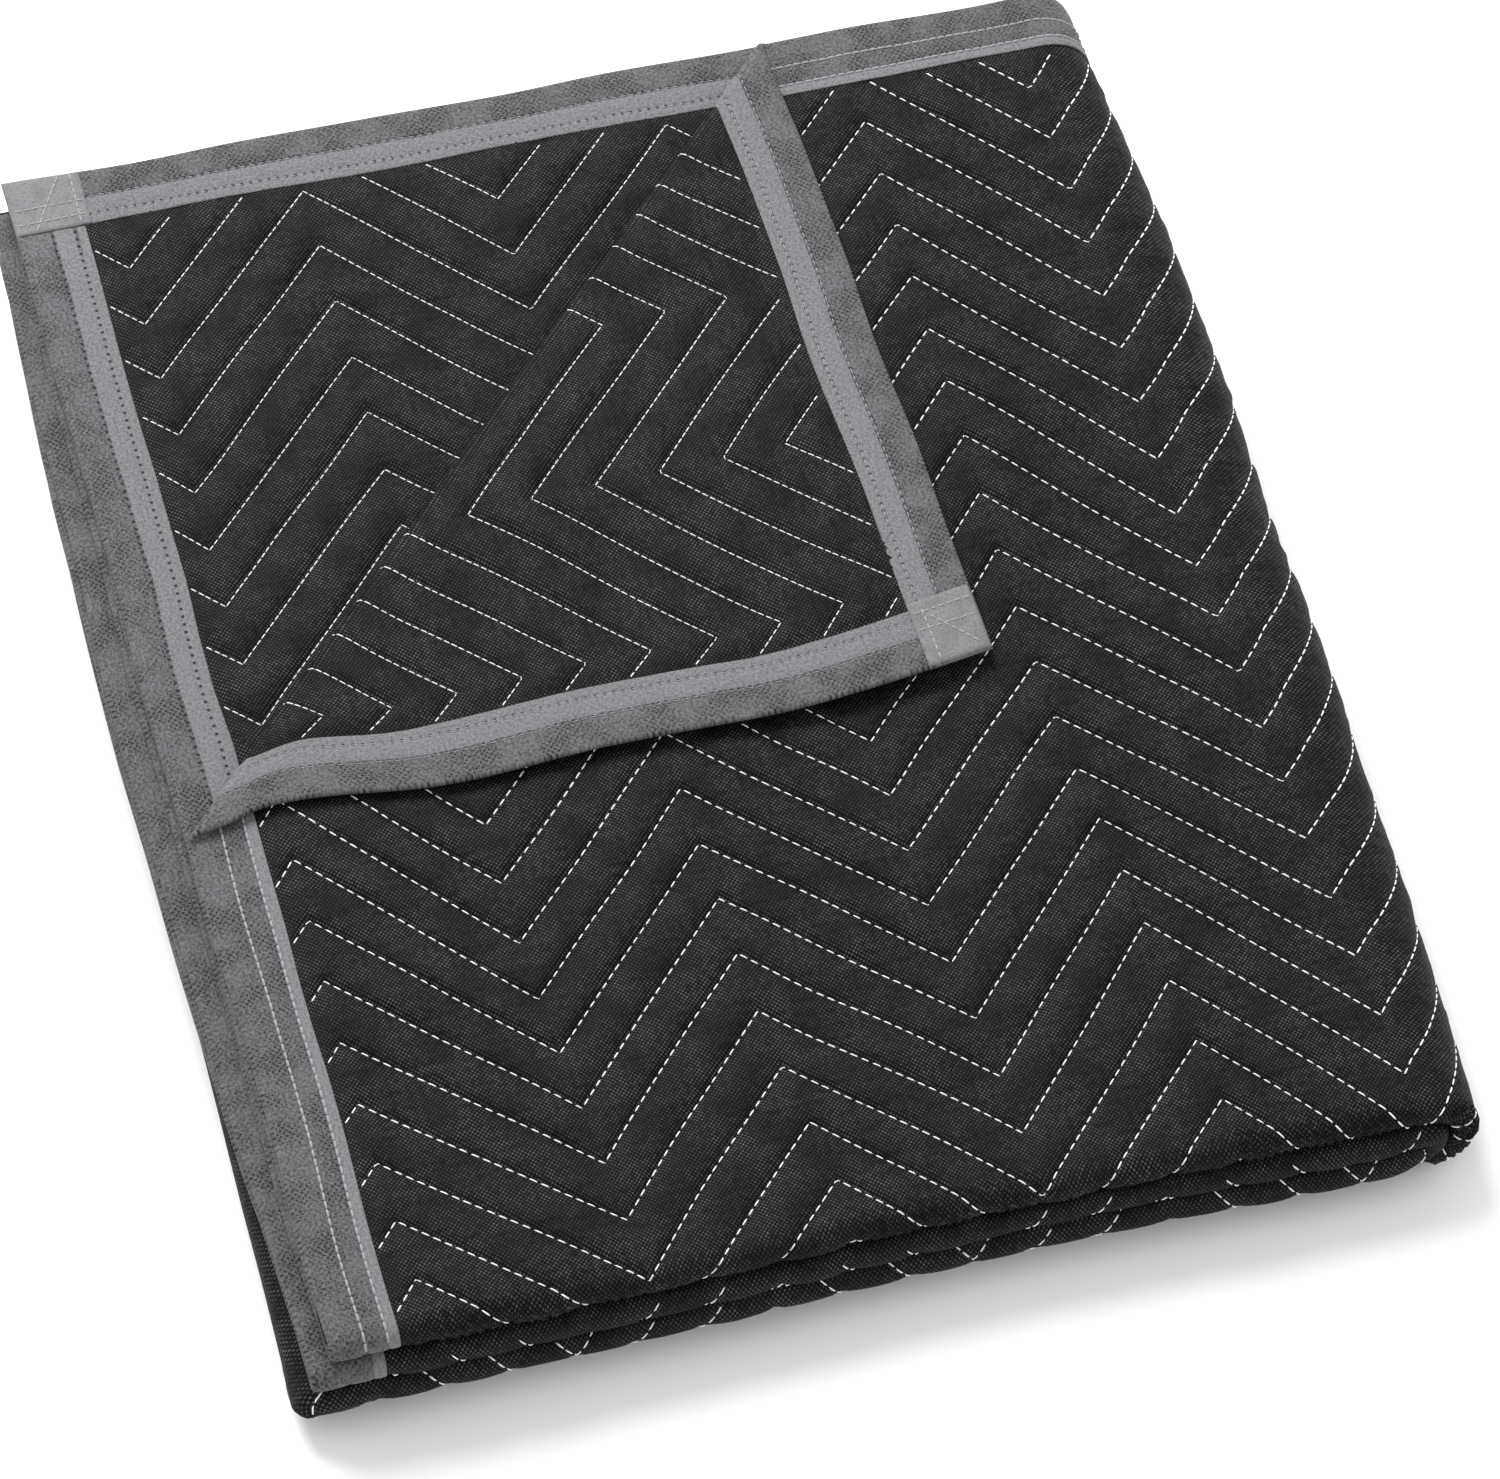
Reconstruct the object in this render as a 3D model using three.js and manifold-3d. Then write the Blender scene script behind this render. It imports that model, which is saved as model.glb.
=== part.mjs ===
// Moving pad: black quilted cloth with a grey bound edge, folded four by four, top corner turned back.
// Millimetres, +Z up, resting on z = 0. The flat cloth is measured from its first corner:
// u across the width, v along the length, n out of its face.
import * as THREE from 'three';
import { mergeVertices } from 'three/addons/utils/BufferGeometryUtils.js';
import Module from 'manifold-3d';

const wasm = await Module();
wasm.setup();

// Cloth and binding
const PLY = 2.6;
const PLY_PITCH = 3.125;
const GROUP_PITCH = 4 * PLY_PITCH;
const PRESSED_PLY = 0.8;
const GAP = 0.3;
const BINDING_WIDTH = 25;
const BINDING_WALL = 0.6;
const PATCH_LENGTH = 28;
const BEVEL = 1.5;

// Folded plan: how far each ply runs between its turns
const DEPTH_RUN = 511.5;
const DEPTH_RUNS = [DEPTH_RUN, DEPTH_RUN - 5, DEPTH_RUN - 7, DEPTH_RUN - 1];
const WIDTH_RUN = 408;
const WIDTH_RUNS = [WIDTH_RUN, WIDTH_RUN - 8.5, WIDTH_RUN - 8.5, WIDTH_RUN + 6];
const STACK = 1.5 * (GROUP_PITCH + PLY_PITCH) + PLY / 2;

// Quilting: one zigzag seam after another, its corners in straight columns
const ZIG_COLUMN = 37.4;
const ZIG_HALF = 72;
const ZIG_RISE = 74;
const SEAM_DEPTH = 0.6;
const CREST_SHOWN = 0.7;
const CREST_HIDDEN = 0.12;

// Turned corner: where its crease meets the far and the left edge, and its bend
const CREASE_FAR = 303;
const CREASE_LEFT = 310;
const CREASE_RADIUS = 2.3;
const CREASE_STEPS = 4;
const CORNER_LIFT = 5;
const FULL_LIFT_AT = 250;

// Lines of the flat cloth closer than this are drawn as one, and a seam this near a corner meets it
const LINE_APART = 1;
const ON_LINE = 0.15;
const SAME_POINT = 1e-4;

const CREASE_SPAN = Math.hypot(CREASE_FAR, CREASE_LEFT);
const CREASE_REACH = (CREASE_FAR * CREASE_LEFT) / CREASE_SPAN;
const TO_CORNER = new THREE.Vector2(-CREASE_LEFT / CREASE_SPAN, -CREASE_FAR / CREASE_SPAN);

const smooth = (low, high, value) => THREE.MathUtils.smoothstep(value, low, high);

// A fold path goes out, round a wide turn, back, round two narrow turns and out again, so that
// its first and last runs are bound edges on the same side and its turns nest.
function foldPath(pitch, runs, wideSteps, narrowSteps) {
  const legs = [
    { run: runs[0] },
    { radius: 1.5 * pitch, way: -1, steps: wideSteps },
    { run: runs[1] },
    { radius: 0.5 * pitch, way: -1, steps: narrowSteps },
    { run: runs[2] },
    { radius: 0.5 * pitch, way: 1, steps: narrowSteps },
    { run: runs[3] },
  ];
  let start = 0;
  let angle = 0;
  const point = new THREE.Vector2(0, 1.5 * pitch);
  for (const leg of legs) {
    leg.start = start;
    leg.length = leg.run ?? Math.PI * leg.radius;
    leg.angle = angle;
    leg.from = point.clone();
    if (leg.run) {
      point.x += leg.run * Math.cos(angle);
    } else {
      point.y += 2 * leg.way * leg.radius * Math.cos(angle);
      angle += leg.way * Math.PI;
    }
    start += leg.length;
  }
  return { legs, length: start };
}

// The place on a fold path at a length along it and a height off its face
function onPath(path, along, height) {
  const last = path.legs[path.legs.length - 1];
  const leg = path.legs.find((item) => along <= item.start + item.length) ?? last;
  const step = along - leg.start;
  if (leg.run) {
    const way = Math.cos(leg.angle);
    return new THREE.Vector2(leg.from.x + step * way, leg.from.y + height * way);
  }
  const centre = leg.from.y + leg.way * leg.radius * Math.cos(leg.angle);
  const angle = leg.angle + (leg.way * step) / leg.radius;
  const reach = leg.radius - leg.way * height;
  return new THREE.Vector2(
    leg.from.x + leg.way * reach * Math.sin(angle),
    centre - leg.way * reach * Math.cos(angle),
  );
}

const depthPath = foldPath(PLY_PITCH, DEPTH_RUNS, 6, 3);
const widthPath = foldPath(GROUP_PITCH, WIDTH_RUNS, 8, 5);
const WIDTH = widthPath.length;
const LENGTH = depthPath.length;

// Lengths along a path at which the cloth needs a line: its turns, and where a run passes a station
function pathStops(path, stations) {
  const stops = [];
  for (const leg of path.legs) {
    const parts = leg.steps ?? 1;
    for (let i = 0; i < parts; i += 1) stops.push(leg.start + (leg.length * i) / parts);
    if (!leg.run) continue;
    const way = Math.cos(leg.angle);
    const steps = stations.map((station) => (station - leg.from.x) * way)
      .filter((step) => step > LINE_APART && step < leg.run - LINE_APART);
    stops.push(...steps.map((step) => leg.start + step));
  }
  return [...stops, path.length];
}

// How far past the crease a point of the flat cloth lies, towards the turned corner
function pastCrease(u, v) {
  return (1 - u / CREASE_FAR - v / CREASE_LEFT) * CREASE_REACH;
}

// The turned corner: rolls up over its crease and lies back, lifting a little towards its edges
function turnCorner(u, v, n) {
  const past = pastCrease(u, v);
  if (past <= 0) return [u, v, n];
  const angle = Math.min(past / CREASE_RADIUS, Math.PI);
  const back = Math.max(past - Math.PI * CREASE_RADIUS, 0);
  const move = (CREASE_RADIUS - n) * Math.sin(angle) - back - past;
  const freer = 1 - smooth(0, FULL_LIFT_AT, u) / 2;
  const lift = CORNER_LIFT * smooth(0, CREASE_REACH, back) * freer;
  const height = CREASE_RADIUS * (1 - Math.cos(angle)) + n * Math.cos(angle) + lift;
  return [u + TO_CORNER.x * move, v + TO_CORNER.y * move, height];
}

// How the pile settles, down its depth: the second group of plies and the lower fold slide out on
// the left, the right side draws in, the near side waves and thins. Between rows it runs straight.
const DOWN_DEPTH = [
  { at: 0, second: 0, lower: 0, right: 7, near: 0 },
  { at: 128, second: 5, lower: 2.5, right: 0, near: 0 },
  { at: 256, second: 7, lower: 5, right: 0, near: 0 },
  { at: 384, second: 5, lower: 7.5, right: 0, near: 0.25 },
  { at: DEPTH_RUN, second: 0, lower: 10, right: 5, near: 1 },
];

// The same across its width: how much of the slide, the draw and the setback of the far edge
// reaches there, the near side's wave and how much thinner it is there
const ACROSS_WIDTH = [
  { at: 0, slide: 1, drawn: 0, recess: 1, wave: 3, thin: 0 },
  { at: 109.4, slide: 0.75, drawn: 0, recess: 0.8, wave: 1, thin: 0.04 },
  { at: 253.4, slide: 0.4, drawn: 0, recess: 0.5, wave: -3, thin: 0.1 },
  { at: 397.4, slide: 0.1, drawn: 0.5, recess: 0.2, wave: -1, thin: 0.09 },
  { at: WIDTH_RUN + STACK, slide: 0, drawn: 1, recess: 0.2, wave: 0, thin: 0.08 },
];
const FAR_SETBACK = 23;
const LEAN = 4;

// From how far below the top of the pile to how far each movement sets in, always between folds
const SLIDE_SETS_IN = [6, 17];
const SETBACK_SETS_IN = [18.5, 25];
const LOWER_SETS_IN = [23.3, 26.2];

// One column of a table read at any place along it
function readTable(table, column, at) {
  const next = Math.max(table.findIndex((row) => row.at > at), 1);
  const high = at >= table[table.length - 1].at ? table.length - 1 : next;
  const [from, to] = [table[high - 1], table[high]];
  const share = THREE.MathUtils.clamp((at - from.at) / (to.at - from.at), 0, 1);
  return THREE.MathUtils.lerp(from[column], to[column], share);
}

// level is the height of the ply's middle, so a ply slides as one piece
function settle(x, depth, z, level) {
  const down = 2 * STACK - level;
  const across = (column) => readTable(ACROSS_WIDTH, column, x);
  const along = (column) => readTable(DOWN_DEPTH, column, depth);
  const slid = THREE.MathUtils.lerp(along('second'), along('lower'), smooth(...LOWER_SETS_IN, down));
  const slide = smooth(...SLIDE_SETS_IN, down) * slid - (LEAN * depth) / DEPTH_RUN;
  const setback = FAR_SETBACK * smooth(...SETBACK_SETS_IN, down);
  const recess = setback * (1 - depth / DEPTH_RUN) * across('recess');
  const near = along('near');
  return new THREE.Vector3(
    x - slide * across('slide') - along('right') * across('drawn'),
    -(depth + recess + near * across('wave')),
    z * (1 - near * across('thin')),
  );
}

// Flat cloth to folded cloth
function place(u, v, n) {
  const [turnedU, turnedV, height] = turnCorner(u, v, n);
  const section = onPath(depthPath, turnedV, height);
  const across = onPath(widthPath, turnedU, section.y);
  const level = onPath(widthPath, turnedU, onPath(depthPath, turnedV, 0).y).y;
  return settle(across.x, section.x, across.y + STACK, level + STACK);
}

// The stretches whose quilting shows, each with where its first seam starts: the top ply until it is
// halfway round its folds, and as much of the ply beneath as the turned corner bares
const BOUND = BINDING_WIDTH + GAP;
const PUFFED = BOUND + BEVEL;
const [firstRun, nearTurn] = depthPath.legs;
const rightTurn = widthPath.legs[1];
const QUILTED = [
  {
    seam: 22.2,
    spacing: 24.96,
    u: [PUFFED, WIDTH_RUN + rightTurn.length / 2],
    v: [PUFFED, firstRun.length + nearTurn.length / 2],
  },
  {
    seam: LENGTH - 76,
    spacing: 26.6,
    u: [PUFFED, ZIG_COLUMN + 4 * ZIG_HALF],
    v: [LENGTH - CREASE_LEFT, LENGTH - PUFFED],
  },
];

// The zigzag: 0 in its even columns, 1 in its odd ones
function zigzag(u) {
  const turn = (u - ZIG_COLUMN) / ZIG_HALF;
  return Math.abs(turn - 2 * Math.round(turn / 2));
}

const within = (value, [low, high]) => value > low && value < high;

// What the quilting adds to half the cloth's thickness: deep at a seam, full halfway to the next
function quilting(u, v, crest) {
  const patch = QUILTED.find((item) => within(u, item.u) && within(v, item.v));
  if (!patch) return 0;
  const row = (v - patch.seam - ZIG_RISE * zigzag(u)) / patch.spacing;
  const fromSeam = 2 * Math.abs(row - Math.round(row));
  return THREE.MathUtils.lerp(-SEAM_DEPTH, crest, fromSeam);
}

// Half the cloth's thickness on one face (+1 or -1): pressed inside the binding, quilted elsewhere
function halfPly(u, v, face) {
  const edge = Math.min(u, v, WIDTH - u, LENGTH - v);
  if (edge < BOUND + SAME_POINT) return PRESSED_PLY / 2;
  const past = pastCrease(u, v);
  const bared = past > Math.PI * CREASE_RADIUS ? face < 0 : past < 0 && face > 0;
  const shown = v < LENGTH / 4 && bared;
  return PLY / 2 + quilting(u, v, shown ? CREST_SHOWN : CREST_HIDDEN);
}

// Rectangles between two lists of lines, as rings of corners
function cellsBetween(columns, rows) {
  const cells = [];
  for (let i = 0; i + 1 < columns.length; i += 1) {
    for (let j = 0; j + 1 < rows.length; j += 1) {
      const [left, right, low, high] = [columns[i], columns[i + 1], rows[j], rows[j + 1]];
      cells.push([[left, low], [right, low], [right, high], [left, high]]);
    }
  }
  return cells;
}

// Splits a ring of corners along the line where side(u, v) is zero
function split(cell, side) {
  const marks = cell.map(([u, v]) => side(u, v)).map((d) => (Math.abs(d) < ON_LINE ? 0 : d));
  if (!marks.some((d) => d > 0) || !marks.some((d) => d < 0)) return [cell];
  const parts = [[], []];
  cell.forEach((corner, i) => {
    const next = cell[(i + 1) % cell.length];
    const nextMark = marks[(i + 1) % cell.length];
    if (marks[i] >= 0) parts[0].push(corner);
    if (marks[i] <= 0) parts[1].push(corner);
    if (marks[i] * nextMark >= 0) return;
    const share = marks[i] / (marks[i] - nextMark);
    const crossing = [0, 1].map((k) => THREE.MathUtils.lerp(corner[k], next[k], share));
    parts[0].push(crossing);
    parts[1].push(crossing);
  });
  return parts;
}

function middle(cell) {
  return [0, 1].map((k) => cell.reduce((sum, corner) => sum + corner[k], 0) / cell.length);
}

// Cuts the cells of one quilted stretch along its seams and the crests between them
function cutSeams(cells, stretch) {
  const rowSpan = stretch.spacing / 2;
  return cells.flatMap((cell) => {
    const [u, v] = middle(cell);
    if (!within(u, stretch.u) || !within(v, stretch.v)) return [cell];
    const turn = Math.floor((u - ZIG_COLUMN) / ZIG_HALF);
    const low = ZIG_COLUMN + turn * ZIG_HALF;
    const slope = (ZIG_RISE / ZIG_HALF) * (turn % 2 === 0 ? 1 : -1);
    const atLow = ZIG_RISE * zigzag(low);
    const heights = cell.map(([a, b]) => (b - atLow - slope * (a - low) - stretch.seam) / rowSpan);
    let parts = [cell];
    for (let row = Math.ceil(Math.min(...heights)); row <= Math.max(...heights); row += 1) {
      const line = (a, b) => b - atLow - slope * (a - low) - stretch.seam - row * rowSpan;
      parts = parts.flatMap((part) => split(part, line));
    }
    return parts;
  });
}

// Cuts the cells near the turned corner along lines parallel to its crease
function cutCrease(cells) {
  const step = (Math.PI * CREASE_RADIUS) / CREASE_STEPS;
  let parts = cells;
  for (let i = 0; i <= CREASE_STEPS; i += 1) {
    parts = parts.flatMap((cell) => {
      const near = cell.every(([, v]) => v <= LENGTH / 4);
      return near ? split(cell, (u, v) => pastCrease(u, v) - i * step) : [cell];
    });
  }
  return parts;
}

// Numbers the corners of all cells, and gives each cell the corners of its neighbours on its sides
function weld(cells) {
  const points = [];
  const numbers = new Map();
  const number = (corner) => {
    const key = corner.map((value) => value.toFixed(5)).join(' ');
    if (!numbers.has(key)) numbers.set(key, points.push(corner) - 1);
    return numbers.get(key);
  };
  const rings = cells.map((cell) => cell.map(number));
  const onSide = (a, b) => {
    const [from, to] = [points[a], points[b]];
    const length = Math.hypot(to[0] - from[0], to[1] - from[1]);
    const found = [];
    points.forEach((point, i) => {
      const [du, dv] = [point[0] - from[0], point[1] - from[1]];
      const along = (du * (to[0] - from[0]) + dv * (to[1] - from[1])) / length;
      const off = Math.abs(du * (to[1] - from[1]) - dv * (to[0] - from[0])) / length;
      const between = along > 0 && along < length && off < SAME_POINT;
      if (between && i !== a && i !== b) found.push([along, i]);
    });
    return found.sort((p, q) => p[0] - q[0]).map((item) => item[1]);
  };
  const full = rings.map((ring) => (
    ring.flatMap((a, i) => [a, ...onSide(a, ring[(i + 1) % ring.length])])
  ));
  return { points, rings, full };
}

// Triangles of each ring: a fan from its far left corner, so that the plies are creased alike, or
// one about its middle where a side has extra corners
function triangulate({ points, rings, full }) {
  const triangles = [];
  const order = points.map(([u, v]) => place(u, v, 0)).map((at) => at.x - at.y);
  full.forEach((ring, k) => {
    if (ring.length === rings[k].length) {
      const first = ring.reduce((best, a, i) => (order[a] < order[ring[best]] ? i : best), 0);
      const fan = [...ring.slice(first), ...ring.slice(0, first)];
      for (let i = 1; i + 1 < fan.length; i += 1) triangles.push([fan[0], fan[i], fan[i + 1]]);
      return;
    }
    const centre = points.push(middle(rings[k].map((i) => points[i]))) - 1;
    ring.forEach((a, i) => triangles.push([centre, a, ring[(i + 1) % ring.length]]));
  });
  return triangles;
}

// Closed solid of a flat triangulated cloth: both faces and a rim along its outer sides
function clothGeometry(points, triangles) {
  const count = points.length;
  const positions = [1, -1].flatMap((face) => points.flatMap(([u, v]) => (
    place(u, v, face * halfPly(u, v, face)).toArray()
  )));
  const sides = new Set(triangles.flatMap(([a, b, c]) => [`${a} ${b}`, `${b} ${c}`, `${c} ${a}`]));
  const rim = [...sides].map((side) => side.split(' ').map(Number))
    .filter(([a, b]) => !sides.has(`${b} ${a}`))
    .flatMap(([a, b]) => [[b, a, a + count], [b, a + count, b + count]]);
  const under = triangles.map(([a, b, c]) => [a + count, c + count, b + count]);
  return meshOf(positions, [...triangles, ...under, ...rim]);
}

const turnedRound = ([a, b, c]) => [a, c, b];

// A mesh of placed points. The length of the flat cloth runs towards -Y, which mirrors it, so
// triangles that turn left on the flat cloth are turned round.
function meshOf(positions, triangles) {
  const geometry = new THREE.BufferGeometry();
  geometry.setAttribute('position', new THREE.Float32BufferAttribute(positions, 3));
  geometry.setIndex(triangles.flatMap(turnedRound));
  return geometry;
}

// The lines of the flat cloth: at its folds, at the stations of the tables, at the columns of the
// zigzag, along its binding, and two more rows that round the lift of the turned corner
const CORNER_ROWS = [64, 192];
const ascending = (list) => [...new Set(list)].sort((a, b) => a - b);
const stations = (table) => table.slice(1, -1).map((row) => row.at);
const edgeStops = (length) => [BOUND, PUFFED].flatMap((inset) => [inset, length - inset]);
const zigColumns = [0, 1, 2, 3, 4, 5].map((i) => ZIG_COLUMN + i * ZIG_HALF);
const columns = ascending([
  ...pathStops(widthPath, stations(ACROSS_WIDTH)),
  ...zigColumns,
  ...edgeStops(WIDTH),
]);
const rows = ascending([
  ...pathStops(depthPath, stations(DOWN_DEPTH)),
  ...CORNER_ROWS,
  ...edgeStops(LENGTH),
]);

function padGeometry() {
  let cells = cutCrease(cellsBetween(columns, rows));
  for (const stretch of QUILTED) cells = cutSeams(cells, stretch);
  const welded = weld(cells);
  const triangles = triangulate(welded);
  return clothGeometry(welded.points, triangles);
}

// The binding's section, from its inner lip over the edge of the cloth and back
const WALL_IN = PRESSED_PLY / 2 + GAP;
const WALL_OUT = WALL_IN + BINDING_WALL;
const EDGE_OUT = -GAP - BINDING_WALL;
const BINDING_SECTION = [
  [BINDING_WIDTH, WALL_IN], [BINDING_WIDTH, WALL_OUT], [EDGE_OUT, WALL_OUT], [EDGE_OUT, -WALL_OUT],
  [BINDING_WIDTH, -WALL_OUT], [BINDING_WIDTH, -WALL_IN], [-GAP, -WALL_IN], [-GAP, WALL_IN],
];

// The four edges of the cloth: where a place along the edge and an inset from it lie on the flat
// cloth, whether that mirrors the strip, and where and how aslant the crease crosses it
const LEFT_TOP = {
  length: LENGTH,
  at: (along, inset) => [inset, along],
  mirrored: true,
  creaseAt: CREASE_LEFT,
  slant: CREASE_LEFT / CREASE_FAR,
};
const LEFT_SECOND = {
  length: LENGTH,
  at: (along, inset) => [WIDTH - inset, along],
  mirrored: false,
};
const FAR_TOP = {
  length: WIDTH,
  at: (along, inset) => [along, inset],
  mirrored: false,
  creaseAt: CREASE_FAR,
  slant: CREASE_FAR / CREASE_LEFT,
};
const FAR_SECOND = {
  length: WIDTH,
  at: (along, inset) => [along, LENGTH - inset],
  mirrored: true,
};

// Rows of a binding strip: the cloth's own lines, and slanted ones where the crease crosses it
function stripRows(edge, stops, patchEnd) {
  const first = patchEnd + GAP;
  const last = edge.length - first;
  const inside = stops.filter((stop) => stop > first + LINE_APART && stop < last - LINE_APART);
  const plain = [first, ...inside, last];
  const straight = plain.map((along) => ({ along, slant: 0 }));
  if (!edge.creaseAt) return straight;
  const bend = (Math.PI * CREASE_RADIUS) / CREASE_STEPS / CREASE_REACH;
  const slanted = [];
  for (let i = CREASE_STEPS; i >= 0; i -= 1) {
    slanted.push({ along: edge.creaseAt * (1 - i * bend), slant: edge.slant });
  }
  return [
    ...straight.filter((row) => row.along < slanted[0].along - BINDING_WIDTH * edge.slant),
    ...slanted,
    ...straight.filter((row) => row.along > edge.creaseAt + LINE_APART),
  ];
}

// One strip of binding, swept along its rows and closed at both ends
function stripGeometry(edge, stops, patchEnd) {
  const stripes = stripRows(edge, stops, patchEnd);
  const size = BINDING_SECTION.length;
  const positions = stripes.flatMap(({ along, slant }) => BINDING_SECTION.flatMap(([inset, n]) => {
    const [u, v] = edge.at(along - slant * inset, inset);
    return place(u, v, n).toArray();
  }));
  const triangles = [];
  for (let row = 0; row + 1 < stripes.length; row += 1) {
    for (let i = 0; i < size; i += 1) {
      const [a, b] = [row * size + i, row * size + ((i + 1) % size)];
      triangles.push([a, b, b + size], [a, b + size, a + size]);
    }
  }
  const cap = [[0, 1, 2], [0, 2, 7], [7, 2, 3], [7, 3, 6], [6, 3, 4], [6, 4, 5]];
  const end = (stripes.length - 1) * size;
  for (const [a, b, c] of cap) triangles.push([a, c, b], [a + end, b + end, c + end]);
  const facing = edge.mirrored ? triangles.map(turnedRound) : triangles;
  return meshOf(positions, facing);
}

// A flat slab between two corners, carried to its folded place
function slab(corner, low, high) {
  const box = new THREE.BoxGeometry(high[0] - low[0], high[1] - low[1], high[2] - low[2]);
  box.deleteAttribute('normal');
  box.deleteAttribute('uv');
  box.translate((high[0] + low[0]) / 2, (high[1] + low[1]) / 2, (high[2] + low[2]) / 2);
  const merged = mergeVertices(box, SAME_POINT);
  const position = merged.getAttribute('position');
  for (let i = 0; i < position.count; i += 1) {
    const u = corner.u === 0 ? position.getX(i) : corner.u - position.getX(i);
    const v = corner.v === 0 ? position.getY(i) : corner.v - position.getY(i);
    position.setXYZ(i, ...place(u, v, position.getZ(i)).toArray());
  }
  const mirrored = (corner.u === 0) === (corner.v === 0);
  const triangles = [];
  for (let i = 0; i < merged.index.count; i += 3) {
    const triangle = [0, 1, 2].map((k) => merged.index.getX(i + k));
    triangles.push(...(mirrored ? turnedRound(triangle) : triangle));
  }
  return new wasm.Manifold(new wasm.Mesh({
    numProp: 3,
    vertProperties: Float32Array.from(position.array),
    triVerts: Uint32Array.from(triangles),
  }));
}

// A patch folded over a corner of the cloth: a flat pocket open towards both strips
function patchGeometry(corner) {
  const outside = slab(corner, [EDGE_OUT, EDGE_OUT, -WALL_OUT], [PATCH_LENGTH, BINDING_WIDTH, WALL_OUT]);
  const past = [PATCH_LENGTH + LINE_APART, BINDING_WIDTH + LINE_APART, WALL_IN];
  const inside = slab(corner, [-GAP, -GAP, -WALL_IN], past);
  const pocket = outside.subtract(inside).getMesh();
  const geometry = new THREE.BufferGeometry();
  geometry.setAttribute('position', new THREE.Float32BufferAttribute(pocket.vertProperties, 3));
  geometry.setIndex(Array.from(pocket.triVerts));
  return geometry;
}

const clothMaterial = new THREE.MeshStandardMaterial({ color: 0x26272a, roughness: 0.95, metalness: 0 });
const bindingMaterial = new THREE.MeshStandardMaterial({ color: 0x85868a, roughness: 0.9, metalness: 0 });
const patchMaterial = new THREE.MeshStandardMaterial({ color: 0x808186, roughness: 0.9, metalness: 0 });

function named(name, geometry, material) {
  const mesh = new THREE.Mesh(geometry, material.clone());
  mesh.name = name;
  return mesh;
}

const CORNERS = [{ u: 0, v: 0 }, { u: 0, v: LENGTH }, { u: WIDTH, v: 0 }, { u: WIDTH, v: LENGTH }];

const pad = new THREE.Group();
pad.add(
  named('pad', padGeometry(), clothMaterial),
  named('binding_left_top', stripGeometry(LEFT_TOP, rows, BINDING_WIDTH), bindingMaterial),
  named('binding_left_second', stripGeometry(LEFT_SECOND, rows, BINDING_WIDTH), bindingMaterial),
  named('binding_far_top', stripGeometry(FAR_TOP, columns, PATCH_LENGTH), bindingMaterial),
  named('binding_far_second', stripGeometry(FAR_SECOND, columns, PATCH_LENGTH), bindingMaterial),
  ...CORNERS.map((corner, i) => named(`corner_patch_${i + 1}`, patchGeometry(corner), patchMaterial)),
);

// The origin is the middle of the underside
const box = new THREE.Box3().setFromObject(pad);
const centre = box.getCenter(new THREE.Vector3());
pad.position.set(-centre.x, -centre.y, -box.min.z);
pad.updateMatrixWorld(true);

export default pad;
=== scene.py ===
"""Looks of a folded quilted moving pad: black cloth, grey bound edge, top corner turned back.

Sizes are millimetres until a mesh is made, and metres from there on. The flat cloth is measured
from its first corner: u across its width, v along its length, n out of its upper face.
"""

import logging
import math
from dataclasses import dataclass, field
from enum import Enum, IntEnum

import bmesh
import bpy
import numpy as np
from mathutils import Matrix, Vector


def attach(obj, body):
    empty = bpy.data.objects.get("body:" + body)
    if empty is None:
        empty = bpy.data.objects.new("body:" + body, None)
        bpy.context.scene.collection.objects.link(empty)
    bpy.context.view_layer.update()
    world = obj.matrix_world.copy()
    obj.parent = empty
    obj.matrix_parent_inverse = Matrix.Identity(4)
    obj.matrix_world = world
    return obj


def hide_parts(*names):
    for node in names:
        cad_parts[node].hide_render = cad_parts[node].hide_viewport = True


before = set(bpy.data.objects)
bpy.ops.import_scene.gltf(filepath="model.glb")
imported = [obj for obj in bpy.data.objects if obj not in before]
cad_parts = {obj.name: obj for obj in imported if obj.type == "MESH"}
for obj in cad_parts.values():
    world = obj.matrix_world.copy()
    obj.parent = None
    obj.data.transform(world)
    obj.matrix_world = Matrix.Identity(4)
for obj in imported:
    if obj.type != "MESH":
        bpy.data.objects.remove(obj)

LOG = logging.getLogger("moving_pad")
MM = 0.001
FOLDED = 4  # The cloth is folded in four both ways.
Array = np.ndarray
Socket = bpy.types.NodeSocket
Material = bpy.types.Material


class Seed(IntEnum):
    """What each noise starts from."""

    SWELL = 5
    WANDER = 11
    WARP_ACROSS = 13
    WARP_ALONG = 17
    DENT = 23
    HOLLOW = 29
    WAVER = 31
    TAPE_PUCKER = 37
    RIPPLE = 41
    BEND = 43
    PUCKER = 47
    PATCHY = 53


def smooth(low: float, high: float, value: Array) -> Array:
    """Eases from 0 at low to 1 at high.

    Args:
        low: where it is still 0.
        high: where it is already 1.
        value: places to ease at.

    Returns:
        The eased share at each place.
    """
    share = np.clip((value - low) / (high - low), 0, 1)
    return share * share * (3 - 2 * share)


def lerp(start: Array, end: Array, share: Array) -> Array:
    """The value a share of the way from start to end."""
    return start + (end - start) * share


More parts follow.
